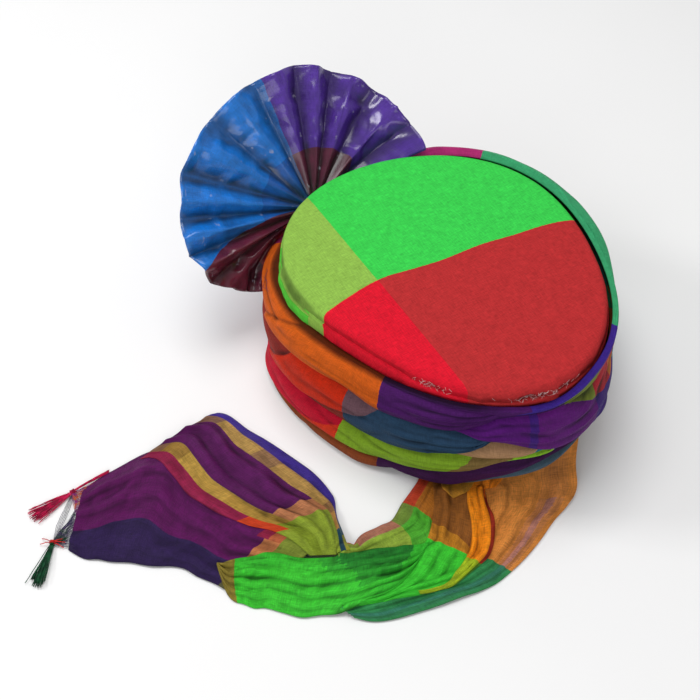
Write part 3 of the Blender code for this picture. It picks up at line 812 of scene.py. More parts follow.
# %% Wraps: fold lines
SEAM = 250                  # where a band begins and ends, in degrees, out of sight behind the fan
WRAP_STATIONS = 400
FOLD_SHADE = 0.0019         # depth at which a fold of a band is fully in shade
LEAST_HEIGHT = 0.0012       # of a band, where it nearly closes
WRINKLE = 0.0010
SHARP_CREASE = 0.0011
SOFT_STEPS = {"cross_top": 0.26, "patch": 0.26}     # how gently the cloth steps out at a fold line, in shares
FIRM_STEP = 0.09                                    # the same at every other line
FACE_STEPS = (0.0, 0.02, 0.05, 0.09, 0.14, 0.19, 0.25, 0.31, 0.37, 0.43, 0.49, 0.55, 0.61, 0.67, 0.73, 0.79, 0.84,
              0.89, 0.93, 0.96, 0.985, 1.0)
LIP_STEPS = (0.0, 0.5, 0.85)
FOLD_LINES = {
    # points of a line on a band's face: (angle, share of the face's height)
    "tongue": ((250, -0.1), (314, -0.1), (318, 0.06), (324, 0.40), (330, 0.71), (335, 0.90), (339, 1.1),
               (611, 1.1)),
    "patch": ((250, -0.1), (434, -0.1), (441, 0.46), (450, 0.62), (475, 0.60), (500, -0.1), (611, -0.1)),
    "cross_top": ((250, 1.1), (434, 1.1), (440, 0.88), (446, 0.70), (452, 0.54), (459, 0.38), (466, 0.26),
                  (478, 0.16), (500, 1.1), (611, 1.1)),
    "tongue_low": ((250, -0.1), (320, -0.1), (331, 0.15), (341, 0.22), (353, 0.27), (363, 0.44), (370, 0.60),
                   (376, 0.90), (379, 1.1), (611, 1.1)),
    "tongue_high": ((250, 0.0), (318, 0.0), (326, 0.36), (333, 0.70), (338, 1.1), (379, 1.2), (611, 1.2)),
    "underlap": ((250, -0.1), (336, -0.1), (341, 0.02), (348, 0.16), (355, 0.42), (361, 0.76), (364, 0.95),
                 (366, 1.1), (611, 1.1)),
}
STEPS_OUT = {
    # on each band: (lower line, upper line, how far the cloth between them stands out, from angle, to angle)
    "wrap_top_roll": ((None, "tongue", 0.0026, 314, 372), (None, "patch", -0.0040, 434, 490)),
    "wrap_cross_band": (("cross_top", None, -0.0045, 434, 490), (None, None, 0.0022, 384, 452)),
    "wrap_upper_band": (("tongue_low", "tongue_high", 0.0020, 318, 384),),
    "wrap_middle_band": ((None, "underlap", 0.0012, 334, 369),),
}
GATHERS_OF = {
    # on each band: soft pleats (angle, share, angle, share, height, width in share)
    "wrap_top_roll": ((262, 0.55, 316, 0.50, 0.0014, 0.16), (338, 0.45, 392, 0.30, 0.0014, 0.16),
                      (384, 0.60, 434, 0.50, 0.0022, 0.13), (388, 0.38, 436, 0.42, 0.0020, 0.12),
                      (396, 0.18, 434, 0.28, 0.0016, 0.10), (400, 0.80, 432, 0.62, 0.0016, 0.10)),
    "wrap_cross_band": ((396, 0.62, 472, 0.66, 0.0016, 0.12), (402, 0.30, 462, 0.40, 0.0016, 0.12),
                        (392, 0.85, 440, 0.88, 0.0012, 0.08)),
    "wrap_upper_band": ((383, 0.30, 420, 0.48, 0.0020, 0.12), (390, 0.14, 421, 0.34, 0.0018, 0.10),
                        (380, 0.62, 422, 0.66, 0.0018, 0.12), (392, 0.80, 421, 0.80, 0.0012, 0.08)),
    "wrap_middle_band": ((372, 0.55, 418, 0.45, 0.0012, 0.16), (405, 0.80, 440, 0.30, 0.0010, 0.14)),
    "wrap_lower_band": ((380, 0.60, 412, 0.25, 0.0014, 0.16), (412, 0.65, 450, 0.50, 0.0012, 0.16)),
}
SKEW = (
    # angle  how far a check line leans, in degrees from the lower to the upper edge
    (0, 0.0),
    (20, 0.0),
    (44, 11.0),
    (64, 5.0),
    (90, 4.0),
    (250, 0.0),
    (330, 0.0),
)


def turned(angle):
    """Degrees around the turban, counted from behind the fan, so that the seam is hidden."""
    value = degrees(angle) % 360
    return value + 360 if value < SEAM else value


def line_height(name, at):
    """Height of a fold line at an angle, as a share of the face."""
    line = FOLD_LINES[name]
    for (a0, t0), (a1, t1) in zip(line, line[1:]):
        if at <= a1:
            return t0 + (t1 - t0) * (at - a0) / (a1 - a0)
    return line[-1][1]


def edge_height(number, angle):
    return HEIGHT * max(curve_value(EDGES, number + 1, degrees(angle), 360), 0.0)


def pleat(across, middle, width):
    """A pleat that rises gently and drops steeply."""
    off = (across - middle) / width
    off = off if off < 0 else off * 2.6
    return max(0.0, 1 - abs(off)) ** 1.4


def fold_relief(number, name, angle, t, tall):
    """How far the cloth's face stands out or in because of folds."""
    at = turned(angle)
    lie = angle * 2.0 + t * 0.6
    relief = WRINKLE * rumple(lie * 1.3, t * tall / 0.010, 20 + number)
    relief -= SHARP_CREASE * crease(lie * 1.1, t * tall / 0.014, 30 + number)
    for a0, t0, a1, t1, height, width in GATHERS_OF.get(name, ()):
        if a0 < at < a1:
            share = (at - a0) / (a1 - a0)
            line = t0 + (t1 - t0) * share + 0.03 * rumple(share * 3, t0 * 9, 38)
            relief += height * ease(share * 4) * ease((1 - share) * 4) * pleat(t, line, width)
    for low, high, out, a0, a1 in STEPS_OUT.get(name, ()):
        if a0 < at < a1:
            fade = ease((at - a0) / 3) * ease((a1 - at) / (0.4 * (a1 - a0)))
            soft = SOFT_STEPS.get(low or high, FIRM_STEP)
            above = ease((t - line_height(low, at)) / soft + 0.5) if low else 1.0
            below = ease((line_height(high, at) - t) / soft + 0.5) if high else 1.0
            relief += out * fade * above * below
    return relief * min(1.0, 6 * t + 0.3, 6 * (1 - t) + 0.3)


# %% Wraps: one section
def wrap_section(number, name, angle):
    """Points from the lower inner edge, over the face, to the upper one: (point, place on the face, painted shade).
    """
    high = edge_height(number, angle)
    low = edge_height(number + 1, angle)
    high -= GAP / 2 if number else 0.0
    low += GAP / 2 if number < len(WRAPS) - 1 else 0.0
    tall = max(high - low, LEAST_HEIGHT)
    tucked = TUCK_DEPTH * (1 - ease(tall / (2 * TUCK_DEPTH)))
    # the top roll lies close to the crown at the right, and on its far side its face and upper edge get less painted
    # shade
    closing = ease((cos(angle - radians(110)) - 0.4) / 0.3) if number == 0 else 0.0
    far = ease((cos(angle - radians(150)) + 0.2) / 0.3) if number == 0 else 0.0
    face = []
    reliefs = [fold_relief(number, name, angle, t, tall) for t in FACE_STEPS]
    for t, relief, hollow in zip(FACE_STEPS, reliefs, sunken(reliefs, FOLD_SHADE)):
        z = low + tall * t
        if t < 0.5:
            valley = CREASE_DEPTH * 0.6 * (1 - 2 * t) ** 5
        else:
            valley = CREASE_DEPTH * 1.5 * (2 * t - 1) ** 2.2 + 0.010 * closing * (2 * t - 1) ** 3
        radius = wound_radius(angle, z) - valley - tucked + relief
        radius = max(radius, crown_radius(angle) + 0.0012) if closing else radius
        # painted shade near both edges of the face, where the bands meet; less of it at the top on the roll's far
        # side
        edge = max(1 - t / 0.09, 0.0) + 0.8 * (1 - far) * max((t - 0.93) / 0.07, 0.0)
        hollow *= 1 - 0.8 * far
        face.append((max(radius, inner_radius(angle, z) + CREASE_DEPTH), z, t, min(hollow + edge, 1.0)))
    section = []
    # the tucked lips are painted fully in shade, the upper one less on the roll's far side
    for share in LIP_STEPS:
        radius = inner_radius(angle, low) + SLACK + (face[0][0] - inner_radius(angle, low) - SLACK) * share
        section.append((radius, low + 0.0004, 0.0, 1.0))
    section += face
    for share in reversed(LIP_STEPS):
        radius = inner_radius(angle, high) + SLACK + (face[-1][0] - inner_radius(angle, high) - SLACK) * share
        section.append((radius, high - 0.0004, 1.0, 1 - 0.9 * far))
    rim = edge_height(len(WRAPS), angle)
    points = []
    for radius, z, t, hollow in section:
        above = min(max(z - rim, 0.0) / (4 * WRAP_DROOP), 1.0)
        out = radius - inner_radius(angle, z)
        points.append((place(radius, angle, z - WRAP_DROOP * above * out / WRAP_DEPTH), t, hollow))
    return points


def stripe_place(name, at, t):
    """Place across a band for its colours: a fold line counts as a whole number."""
    if name == "wrap_top_roll":
        return t - line_height("patch", at)
    if name == "wrap_cross_band":
        return t - line_height("cross_top", at)
    if name == "wrap_middle_band":
        return t - line_height("underlap", at)
    if name == "wrap_upper_band":
        low = line_height("tongue_low", at)
        high = line_height("tongue_high", at)
        return t - low if t < low else 1 + t - high if t > high else (t - low) / max(high - low, 0.01)
    return t


# %% Wraps: winding
WRAP_CLOTH = 0.0010
MEAN_RADIUS = 0.125


def wind(number, name):
    """One band of cloth around the turban."""
    sections = [wrap_section(number, name, radians(SEAM + 360 * i / WRAP_STATIONS)) for i in range(WRAP_STATIONS)]
    sections.append(sections[0])
    points = [[p for p, t, h in section] for section in sections]
    checks = []
    threads = []
    for i, section in enumerate(sections):
        at = SEAM + 360 * i / WRAP_STATIONS
        lean = 0.0 if name == "wrap_cross_band" else curve_value(SKEW, 1, at, 360)
        checks.append([(at - lean * (t - 0.5), stripe_place(name, at, t)) for p, t, h in section])
        reach = 0.0
        row = []
        for here, after in zip(section, section[1:] + section[-1:]):
            row.append((radians(at) * MEAN_RADIUS, reach))
            reach += (after[0] - here[0]).length
        threads.append(row)
    painted_shade = [[h for p, t, h in section] for section in sections]
    piece = cloth_grid(name + "_cloth", points, checks, threads, painted_shade=painted_shade)
    width, length = lengths(points)
    piece = finished(piece, ("SOLIDIFY", {"thickness": WRAP_CLOTH, "offset": -1}))
    return piece, width, length


BAND_COLOURS = {
    "wrap_top_roll": (
        (-2.0, ((250, "7A1C48"), (292, "CC5A12"), (377.5, "48167A"), (438, "7C8A2C"), (451, "B81C2C"),
                (468, "D0701E"), (480, "3CA870"), (570, "B42C72"), (600, "7A1C48"))),
        (0.0, ((250, "7A1C48"), (292, "CC5A12"), (377.5, "48145E"), (424, "3A2288"), (466, "3CA870"),
               (570, "B42C72"), (600, "7A1C48"))),
    ),
    "wrap_cross_band": (
        (-2.0, ((250, "A02420"), (320, "7A1A40"), (390, "541270"), (426, "401A78"), (429, "5C1270"),
                (452, "3C1C74"), (475, "1E7A8A"), (520, "86AE30"), (560, "C2442A"))),
        (0.0, ((250, "A02420"), (390, "4A1768"), (438, "7C8A2C"), (451, "B81C2C"), (466, "D0701E"), (490, "1E7A8A"),
               (560, "C2442A"))),
    ),
    # on the upper band, the dark brick above the tongue, beside the orange roll, is the cloth's brick darkened in
    # part by painted shadow from the roll
    "wrap_upper_band": (
        (-2.0, ((250, "8E2218"), (318, "B8142C"), (342, "8E2A1C"), (363, "26425E"), (440, "1E6E86"),
                (500, "6E2A70"), (560, "A8661E"))),
        (0.0, ((250, "8E2218"), (318, "CC2A08"), (363, "6C4E58"), (377, "26425E"), (440, "1E6E86"), (500, "6E2A70"),
               (560, "A8661E"))),
        (1.0, ((250, "8E2218"), (363, "26425E"), (440, "1E6E86"), (500, "6E2A70"), (560, "A8661E"))),
    ),
    "wrap_tucked_band": (
        (-1.0, ((250, "7A1A40"), (360, "AC8460"), (430, "107082"), (450, "2F4868"), (520, "86AE30"))),
    ),
    "wrap_middle_band": (
        (-2.0, ((250, "B8203A"), (336, "D03418"), (360, "82A828"), (407, "80683A"), (422, "88BC2C"),
                (438, "3C1C74"), (500, "1E7A8A"), (560, "B8182E"))),
        (0.0, ((250, "B8203A"), (310, "C40E2E"), (360, "82A828"), (407, "80683A"), (422, "88BC2C"), (438, "3C1C74"),
               (500, "1E7A8A"), (560, "B8182E"))),
    ),
    "wrap_lower_band": (
        (-1.0, ((250, "6E2A70"), (310, "84401E"), (377.5, "3C1446"), (455, "84401E"), (520, "26425E"))),
        (0.86, ((250, "6E2A70"), (310, "C04020"), (352, "84401E"), (377.5, "3C1446"), (455, "84401E"),
                (520, "26425E"))),
    ),
    "wrap_base_band": (
        (-1.0, ((250, "3C1242"), (330, "74381E"), (378, "341440"), (392, "435866"), (455, "74381E"),
                (500, "435866"))),
    ),
}
wrap_pieces = []
for number, name in enumerate(WRAPS):
    piece, width, length = wind(number, name)
    finish = cloth_material(name + "_weave", BAND_COLOURS[name], ragged=(0.5, 0.008), roughness=0.62, painted_fold_shade=0.85)
    dress(piece, finish, [name])
    wrap_pieces.append(piece)
    print(piece.name, len(piece.data.polygons), "faces, strip of", round(width, 3), "by", round(length, 3))

# %% [markdown]
# ## The fan
#
# The fan is one starched strip, pleated like a paper fan and gathered at its root. Its ridges and valleys come from
# a table of fold lines. Between two fold lines the cloth is nearly flat, but starch has cracked it into small
# dents, and those catch the light. A clear coat over the weave gives the starch its gloss.

# %% Fan: fold lines
FOLDS = (
    # angle  radius  curl
    (3, 0.82, 0.80), (16.5, 0.87, 0.78), (26, 0.91, 0.50), (36, 0.965, 0.30), (46, 0.995, 0.05), (54, 1.00, 0.0),
    (62, 1.01, 0.0), (71, 1.02, 0.0), (80, 0.99, 0.0), (91, 0.975, 0.0), (103, 0.98, 0.0), (116, 0.97, 0.0),
    (129, 1.00, 0.0), (141, 1.01, 0.0), (152, 1.01, 0.0), (159, 1.00, 0.0), (167, 1.02, 0.0), (174, 1.00, 0.0),
    (181, 0.96, 0.0), (189, 0.93, -0.15), (200, 0.83, -0.30), (216, 0.74, -0.40), (234, 0.66, -0.50),
    (249, 0.61, -0.60),
)
FAN_STEPS = 10              # points from one fold line to the next
FAN_RINGS = 46
FAN_SHEET = 0.0007
DENT = 0.0028               # how deep the starched cloth has cracked
DENTS = 40                  # how close together the dents lie, per metre


def fan_point(angle, radius, off):
    """Point of the fan at an angle from its right end, at a radius from the root, off its middle plane."""
    level = pi + min(radius / FAN_RADIUS, 1.0) * max(angle - pi, 0.0)
    angle = min(angle, level)
    return FAN_PIVOT - FAN_SIDE * cos(angle) * radius + FAN_UP * sin(angle) * radius + FAN_NORMAL * off


# %% Fan: pleats
def make_fan():
    """The pleated strip, fold line by fold line, with its width and length."""
    points = []
    checks = []
    threads = []
    painted_shade = []
    for k in range((len(FOLDS) - 1) * FAN_STEPS + 1):
        number, part = divmod(k, FAN_STEPS)
        t = part / FAN_STEPS
        first = FOLDS[number]
        last = FOLDS[min(number + 1, len(FOLDS) - 1)]
        at, reach, curl = [a + (b - a) * t for a, b in zip(first, last)]
        side = 1 if number % 2 == 0 else -1
        wave = side * (0.75 * (1 - 2 * t) + 0.25 * cos(pi * t))
        row = []
        addresses = []
        sunk = []
        for j in range(FAN_RINGS + 1):
            share = j / FAN_RINGS
            radius = FAN_ROOT + (FAN_RADIUS * reach - FAN_ROOT) * share
            depth = FAN_PLEAT * wave * share ** 0.8 * (1 - 0.35 * ease((share - 0.75) / 0.25))
            depth += FAN_CURL * curl * (share ** 3 if curl > 0 else share)
            x = radius * cos(radians(at)) * DENTS
            y = radius * sin(radians(at)) * DENTS
            flat_part = 1 - abs(wave) ** 6
            dent = crease(x, y, 40) - 0.8 * crease(x * 0.8 + 3, y * 0.8, 41) + 0.5 * rumple(x * 2, y * 2, 42)
            row.append(fan_point(radians(at), radius, depth + DENT * dent * flat_part * ease(share * 1.6 - 0.3)))
            # painted shade: darker towards the valley of each pleat, in the dents of the starch and near the root
            sunk.append(min(1.0, 0.85 * ease(0.2 - wave) * (1 - 0.3 * share) + 0.5 * max(0.0, -dent) * flat_part
                            + 0.5 * (1 - ease(share / 0.3))))
            millimetres = radius * 1000
            root = millimetres - 6 * max(0.0, (87 - at) / 53) + 24 * ease((30 - at) / 25)
            end = at + (105 - millimetres) * 0.24 * ease((at - 130) / 40)
            addresses.append((end, root))
        points.append(row)
        painted_shade.append(sunk)
        checks.append(addresses)
        threads.append([(radians(at) * 0.075, FAN_RADIUS * reach * j / FAN_RINGS) for j in range(FAN_RINGS + 1)])
    piece = cloth_grid("fan_pleats", points, checks, threads, painted_shade=painted_shade)
    width, length = lengths(points)
    return finished(piece, ("SOLIDIFY", {"thickness": FAN_SHEET, "offset": 0})), width, length


fan_pleats, width, length = make_fan()
fan_cloth = cloth_material("fan_starched", (
    (-50.0, ((0, "5C1434"), (87, "0A5CB4"), (182, "5A1430"), (206, "A0182C"))),
    (30.0, ((0, "5C1434"), (87, "0A5CB4"), (182, "5A1430"), (222, "A8182C"))),
    (44.0, ((0, "4C2494"), (87, "0674D2"), (182, "641632"), (226, "A8182C"))),
    (57.0, ((0, "4C2494"), (87, "0674D2"), (182, "641632"))),
), ragged=(0.4, 0.3), roughness=0.40, mottle=0.45, slub=0.30, coat=0.8, gloss_level=0.25, painted_fold_shade=0.82)
dress(fan_pleats, fan_cloth, ["fan"])
print("fan:", len(fan_pleats.data.polygons), "faces, strip of", round(width, 3), "by", round(length, 3))

# %% Fan: pale flecks on the starch, painted glints and scuffs
def add_glints_and_scuffs(material, pale):
    """Pale flecks over the colour: painted highlights for the starch's speckled glints, and in part rubbed-off
    starch.
    """
    tree = material.node_tree
    base = tree.nodes["Principled BSDF"].inputs["Base Color"]
    spots = add_noise(tree, uv_address(tree, "threads"), 120.0, (1, 1, 1), 6.0)
    edge = add_math(tree, "MULTIPLY", add_math(tree, "SUBTRACT", spots, 0.66), 14.0, clamp=True)
    glint_and_wear = add_math(tree, "MULTIPLY", edge, 0.55)
    tree.links.new(add_mix(tree, glint_and_wear, base.links[0].from_socket, linear(pale)), base)


add_glints_and_scuffs(fan_cloth, "B8B4C8")

# %% [markdown]
# At its root the strip is gathered into a bundle and tucked down behind the orange roll. The bundle is a tube whose
# outline ripples with the ends of the pleats.

# %% Fan: the gathered root
GATHERS = 11
GATHER_STATIONS = 132
GATHER_ROWS = 24            # the first two and the last two close the bundle's ends


def make_gather():
    """The bundle below the fan."""
    outwards = Vector((cos(FAN_ANGLE), sin(FAN_ANGLE), 0))
    beside = Vector((-sin(FAN_ANGLE), cos(FAN_ANGLE), 0))
    upwards = outwards * FAN_UP.to_2d().length + Vector((0, 0, FAN_UP.z))
    side = beside.cross(upwards)
    points = []
    checks = []
    threads = []
    for k in range(GATHER_ROWS):
        share = min(max((k - 2) / (GATHER_ROWS - 5), 0.0), 1.0)
        closing = (0.0, 0.7, 1.0)[min(k, GATHER_ROWS - 1 - k, 2)]
        middle = FAN_PIVOT - upwards * (NECK_LENGTH * share + 0.0003)
        wide = FAN_ROOT + (NECK_WIDTH / 2 - FAN_ROOT) * ease((share - 0.15) / 0.85)
        row = []
        for j in range(GATHER_STATIONS + 1):
            turn = 2 * pi * (j % GATHER_STATIONS) / GATHER_STATIONS
            ripple = 1 - 0.16 * (0.5 - 0.5 * cos(turn * GATHERS + 1.5 * rumple(share * 2, 0, 50))) ** 2
            row.append(middle + beside * wide * ripple * closing * cos(turn)
                       + side * NECK_THICKNESS / 2 * ripple * closing * sin(turn))
        points.append(row)
        checks.append([(j / GATHER_STATIONS, share) for j in range(GATHER_STATIONS + 1)])
        threads.append([(j * 0.0004, share * NECK_LENGTH) for j in range(GATHER_STATIONS + 1)])
    return cloth_grid("fan_gather", points, checks, threads, around=True)


fan_gather = make_gather()
dress(fan_gather, cloth_material("gathered_maroon", ((-1.0, ((0.0, "6A1428"),)),), roughness=0.5, mottle=0.3),
      ["fan_neck"])
print("gather:", len(fan_gather.data.polygons), "faces")

# %% [markdown]
# ## The tail
#
# The loose end is very thin silk, folded lengthwise and laid on the floor in a half circle. It is built the way it
# was laid: one sheet after another from the floor up. A sheet is drawn between two edges on the tail's outline.
# Long pleats are added, and then each point is lifted until it clears the sheets that already lie there, and the
# sheet is relaxed a little so that it bridges the edges beneath it in soft steps.

# %% Tail: outline
TAIL_REACH = 0.320
TAIL_LIFT = 0.024
ROOT_START = radians(30)
ROOT_END = radians(98)
ROOT_GAP = 0.0006
TAIL = (
    # inner x  y     outer x  y       heights from the inner to the outer edge
    (0.305, 0.195, -0.025, 0.398, 0.02, 0.22, 0.95, 1.10, 0.95),
    (0.362, 0.216, 0.105, 0.468, 0.02, 0.30, 0.52, 0.46, 0.10),
    (0.419, 0.231, 0.250, 0.503, 0.02, 0.30, 0.38, 0.26, 0.02),
    (0.469, 0.222, 0.403, 0.494, 0.02, 0.28, 0.36, 0.24, 0.02),
    (0.513, 0.200, 0.525, 0.438, 0.02, 0.26, 0.36, 0.26, 0.02),
    (0.497, 0.150, 0.622, 0.369, 0.02, 0.26, 0.38, 0.28, 0.02),
    (0.466, 0.094, 0.722, 0.238, 0.02, 0.24, 0.36, 0.26, 0.02),
    (0.450, 0.016, 0.797, 0.106, 0.02, 0.20, 0.30, 0.22, 0.02),
    (0.456, -0.078, 0.822, 0.013, 0.02, 0.16, 0.24, 0.18, 0.02),
    (0.469, -0.172, 0.862, -0.041, 0.02, 0.12, 0.20, 0.14, 0.02),
    (0.500, -0.262, 0.906, -0.094, 0.02, 0.10, 0.16, 0.12, 0.02),
    (0.640, -0.297, 0.938, -0.140, 0.02, 0.08, 0.12, 0.08, 0.02),
    (0.780, -0.310, 0.956, -0.172, 0.02, 0.05, 0.08, 0.06, 0.02),
    (0.868, -0.322, 0.969, -0.225, 0.02, 0.03, 0.04, 0.03, 0.02),
)
TAIL_TABLE = [(i + 1, *values) for i, values in enumerate(TAIL)]


def tail_place(row, across):
    """Point of the tail's outline at a row and a share of the way across, at the height of the lowest cloth."""
    inner_x, inner_y, outer_x, outer_y = [curve_value(TAIL_TABLE, c, row) * TAIL_REACH for c in (1, 2, 3, 4)]
    heights = [(c / 4, curve_value(TAIL_TABLE, 5 + c, row)) for c in range(5)]
    z = TAIL_LIFT * curve_value(heights, 1, across)
    point = Vector((inner_x + (outer_x - inner_x) * across, inner_y + (outer_y - inner_y) * across, z))
    if row < 1:
        angle = ROOT_START + (ROOT_END - ROOT_START) * across
        point = place(cap_radius(angle, z) + ROOT_GAP, angle, z).lerp(point, row)
    return point


# %% Tail: laying one sheet on the others
TAIL_SHEET = 0.0005
CLEARANCE = 0.0009
FLOOR_GAP = 0.0006          # height of a sheet's middle over the floor
SILK_SHADE = 0.0011         # depth at which a fold of the silk is fully in shade
PLEAT_GAIN = 1.6            # how much fuller the pleats are than their numbers, before the sheet is relaxed
lying = []                  # what already lies there, for finding the height of the next sheet


def drape(points, relief, stiffness=5):
    """Lifts a sheet clear of the ones below, adds its pleats and relaxes it."""
    lowest = []
    for row in points:
        line = []
        for p in row:
            base = FLOOR_GAP
            for tree in lying:
                hit = tree.ray_cast(Vector((p.x, p.y, 0.2)), Vector((0, 0, -1)))[0]
                if hit:
                    base = max(base, hit.z + CLEARANCE)
            line.append(base)
        lowest.append(line)
    rows = len(points)
    columns = len(points[0])
    heights = [[max(points[i][j].z + relief[i][j], lowest[i][j]) for j in range(columns)] for i in range(rows)]
    for _ in range(stiffness):
        softer = []
        for i in range(rows):
            line = []
            for j in range(columns):
                near = [heights[max(i - 1, 0)][j], heights[min(i + 1, rows - 1)][j],
                        heights[i][max(j - 1, 0)], heights[i][min(j + 1, columns - 1)]]
                line.append(max(lowest[i][j], 0.4 * heights[i][j] + 0.15 * sum(near)))
            softer.append(line)
        heights = softer
    return [[Vector((p.x, p.y, z)) for p, z in zip(row, line)] for row, line in zip(points, heights)]


# %% Tail: one sheet
def lay_sheet(name, edges, pleats, columns=44, steps=11, soft=0.0019, seed=60, start=0.0):
    """Sheet between two edges, given row by row as (inner row, inner across, outer row, outer across)."""
    table = [(i, *edge) for i, edge in enumerate(edges)]
    last = len(edges) - 1
    count = last * steps
    points = []
    relief = []
    for i in range(count + 1):
        at = last * i / count
        inner_row, inner_across, outer_row, outer_across = [curve_value(table, c, at) for c in (1, 2, 3, 4)]
        line = []
        lift = []
        for j in range(columns + 1):
            s = j / columns
            bowed = inner_row + (outer_row - inner_row) * s
            line.append(tail_place(bowed, inner_across + (outer_across - inner_across) * s))
            p = line[-1]
            high = soft * (0.6 + rumple(p.x * 28, p.y * 28, seed))
            high += 0.4 * soft * rumple(p.x * 70, p.y * 70, seed + 1)
            high += 0.9 * soft * crease(at * 0.42 + s, s * 2.3 - at * 0.42, seed + 4)
            for begin, end, height, width in pleats:
                middle = begin + (end - begin) * at / last + 0.03 * rumple(at * 0.8, begin * 9, seed + 2)
                strength = 0.65 + 0.7 * rumple(at * 0.6, begin * 5, seed + 3)
                high += PLEAT_GAIN * height * strength * pleat(s, middle, width)
            fade = ease((at - start) / 1.2) * min(1.0, 0.25 + 6 * s) * min(1.0, 0.25 + 6 * (1 - s))
            lift.append(high * fade)
        points.append(line)
        relief.append(lift)
    points = drape(points, relief)
    # painted shade in the folds of the silk, across and along the sheet
    heights = [[p.z for p in row] for row in points]
    across_folds = [sunken(row, SILK_SHADE) for row in heights]
    along_folds = zip(*[sunken(column, SILK_SHADE) for column in zip(*heights)])
    painted_shade = [[min(1.0, a + 0.7 * b) for a, b in zip(one, two)] for one, two in zip(across_folds, along_folds)]
    width, length = lengths(points)
    checks = [[(last * i / count, j / columns) for j in range(columns + 1)] for i in range(count + 1)]
    threads = [[(length * i / count, width * j / columns) for j in range(columns + 1)] for i in range(count + 1)]
    across = Vector(points[1][0]) - Vector(points[0][0])
    beside = Vector(points[0][1]) - Vector(points[0][0])
    piece = cloth_grid(name, points, checks, threads, flip=across.cross(beside).z > 0, painted_shade=painted_shade)
    lying.append(surface_of(piece))
    return finished(piece, ("SOLIDIFY", {"thickness": TAIL_SHEET, "offset": 1})), width, length


def lay(name, edges, pleats, stripes, node_names, slot_name, rests_on, gold=(), ragged=(0.03, 0.006), **settings):
    """Lays and dresses one sheet of the tail."""
    piece, width, length = lay_sheet(name, edges, pleats, **settings)
    finish = cloth_material(name + "_silk", stripes, ragged=ragged, roughness=0.52, pitch=0.0009, slub=0.5,
                            mottle=0.34, gold=gold, gloss_level=0.2)
    dress(piece, finish, node_names)
    print(piece.name, len(piece.data.polygons), "faces, sheet of", round(width, 3), "by", round(length, 3))


# %% [markdown]
# The sheets from the floor up. The numbers after each name are the two edges, read off in rows of the outline.

# %% Tail: copper sheet and the inner edge
COPPER = (
    (0.15, 0.50, 0.15, 1.00), (1.63, 0.48, 1.28, 1.02), (1.98, 0.52, 1.78, 1.07), (2.40, 0.58, 2.06, 1.05),
    (2.74, 0.60, 2.35, 1.01), (3.09, 0.66, 2.81, 1.00), (3.39, 0.72, 3.42, 1.00), (3.69, 0.72, 3.71, 1.00),
    (4.08, 0.73, 3.98, 0.98), (4.51, 0.72, 4.30, 0.96), (5.03, 0.72, 4.85, 0.98), (5.71, 0.78, 5.43, 1.00),
    (6.18, 0.85, 5.89, 1.01), (6.39, 0.92, 6.18, 0.98),
)
INNER = (
    (0.15, 0.00, 0.15, 0.27), (0.61, 0.04, 1.38, 0.30), (1.31, 0.03, 2.33, 0.31), (2.00, 0.01, 3.00, 0.34),
    (2.48, 0.01, 3.41, 0.41), (2.90, 0.01, 3.98, 0.39), (3.36, -0.02, 4.39, 0.38), (4.40, -0.01, 5.03, 0.40),
    (5.30, 0.15, 5.60, 0.48), (6.11, 0.30, 5.98, 0.55), (6.36, 0.42, 6.31, 0.62),
)
lay("tail_copper", COPPER, ((0.15, 0.25, 0.0030, 0.14), (0.50, 0.45, 0.0026, 0.16), (0.80, 0.78, 0.0022, 0.12)), (
    # the copper is painted lighter than the cloth's own copper so that it looks lit where the turban casts its
    # shadow: painted light over its own colour
    (-1.0, ((0, "DC8A3C"), (6.0, "348E50"))),
    (0.60, ((0, "D2843E"), (2.5, "CA8048"), (6.0, "348656"))),
    (0.70, ((0, "CC8040"), (2.5, "B47868"), (6.0, "347C62"))),
    (0.80, ((0, "D2843E"), (2.5, "CC8248"), (6.0, "348656"))),
    (0.90, ((0, "DC8A3C"), (6.0, "348E50"))),
), ["tail_outer_panel"], "tail_outer_panel", ["floor"], ragged=(0.03, 0.07), columns=56, start=0.8, seed=60)
lay("tail_inner", INNER, ((0.35, 0.40, 0.0022, 0.16), (0.75, 0.70, 0.0020, 0.14)), (
    (-1.0, ((0, "C83C24"), (3.0, "7C8C3A"), (5.0, "B4705A"), (7.5, "C83C24"))),
    (0.06, ((0, "B83A1E"), (3.0, "6E8A34"), (5.0, "AE7058"), (7.5, "8A9A30"))),
    (0.30, ((0, "A9641C"), (3.0, "4CA82C"), (5.0, "8CA838"), (7.5, "8CA838"))),
), ["tail_inner_panel"], "tail_inner_panel", ["floor", "tail_copper"], start=0.6, seed=64)

# %% Tail: lower sheet of the free end
LOWER = (
    (6.79, 0.40, 7.59, 0.97), (7.41, 0.42, 7.87, 0.98), (7.82, 0.45, 8.25, 0.97), (8.25, 0.47, 8.74, 0.99),
    (9.10, 0.45, 9.19, 0.98), (10.11, 0.42, 9.67, 0.98), (10.98, 0.32, 10.23, 0.99), (11.63, 0.16, 10.90, 0.98),
    (12.28, 0.05, 11.60, 0.99), (12.76, 0.02, 12.27, 0.99), (13.24, 0.00, 13.22, 1.02), (13.72, 0.03, 13.83, 1.03),
)
lay("tail_lower", LOWER, ((0.30, 0.22, 0.0030, 0.10), (0.52, 0.45, 0.0034, 0.12), (0.72, 0.66, 0.0022, 0.10),
                          (0.90, 0.86, 0.0018, 0.08)), (
    (-1.0, ((0, "7C8A30"), (1.0, "B8603C"), (1.6, "8E1B40"), (2.2, "5A0C54"))),
    (0.30, ((0, "7C8A30"), (1.0, "C07848"), (1.8, "5A0C54"))),
    (0.70, ((0, "3DA030"), (1.0, "5C5A3A"), (1.8, "2C1A4A"))),
), ["tail_end_lower"], "tail_end_lower", ["floor"], columns=56, seed=68)

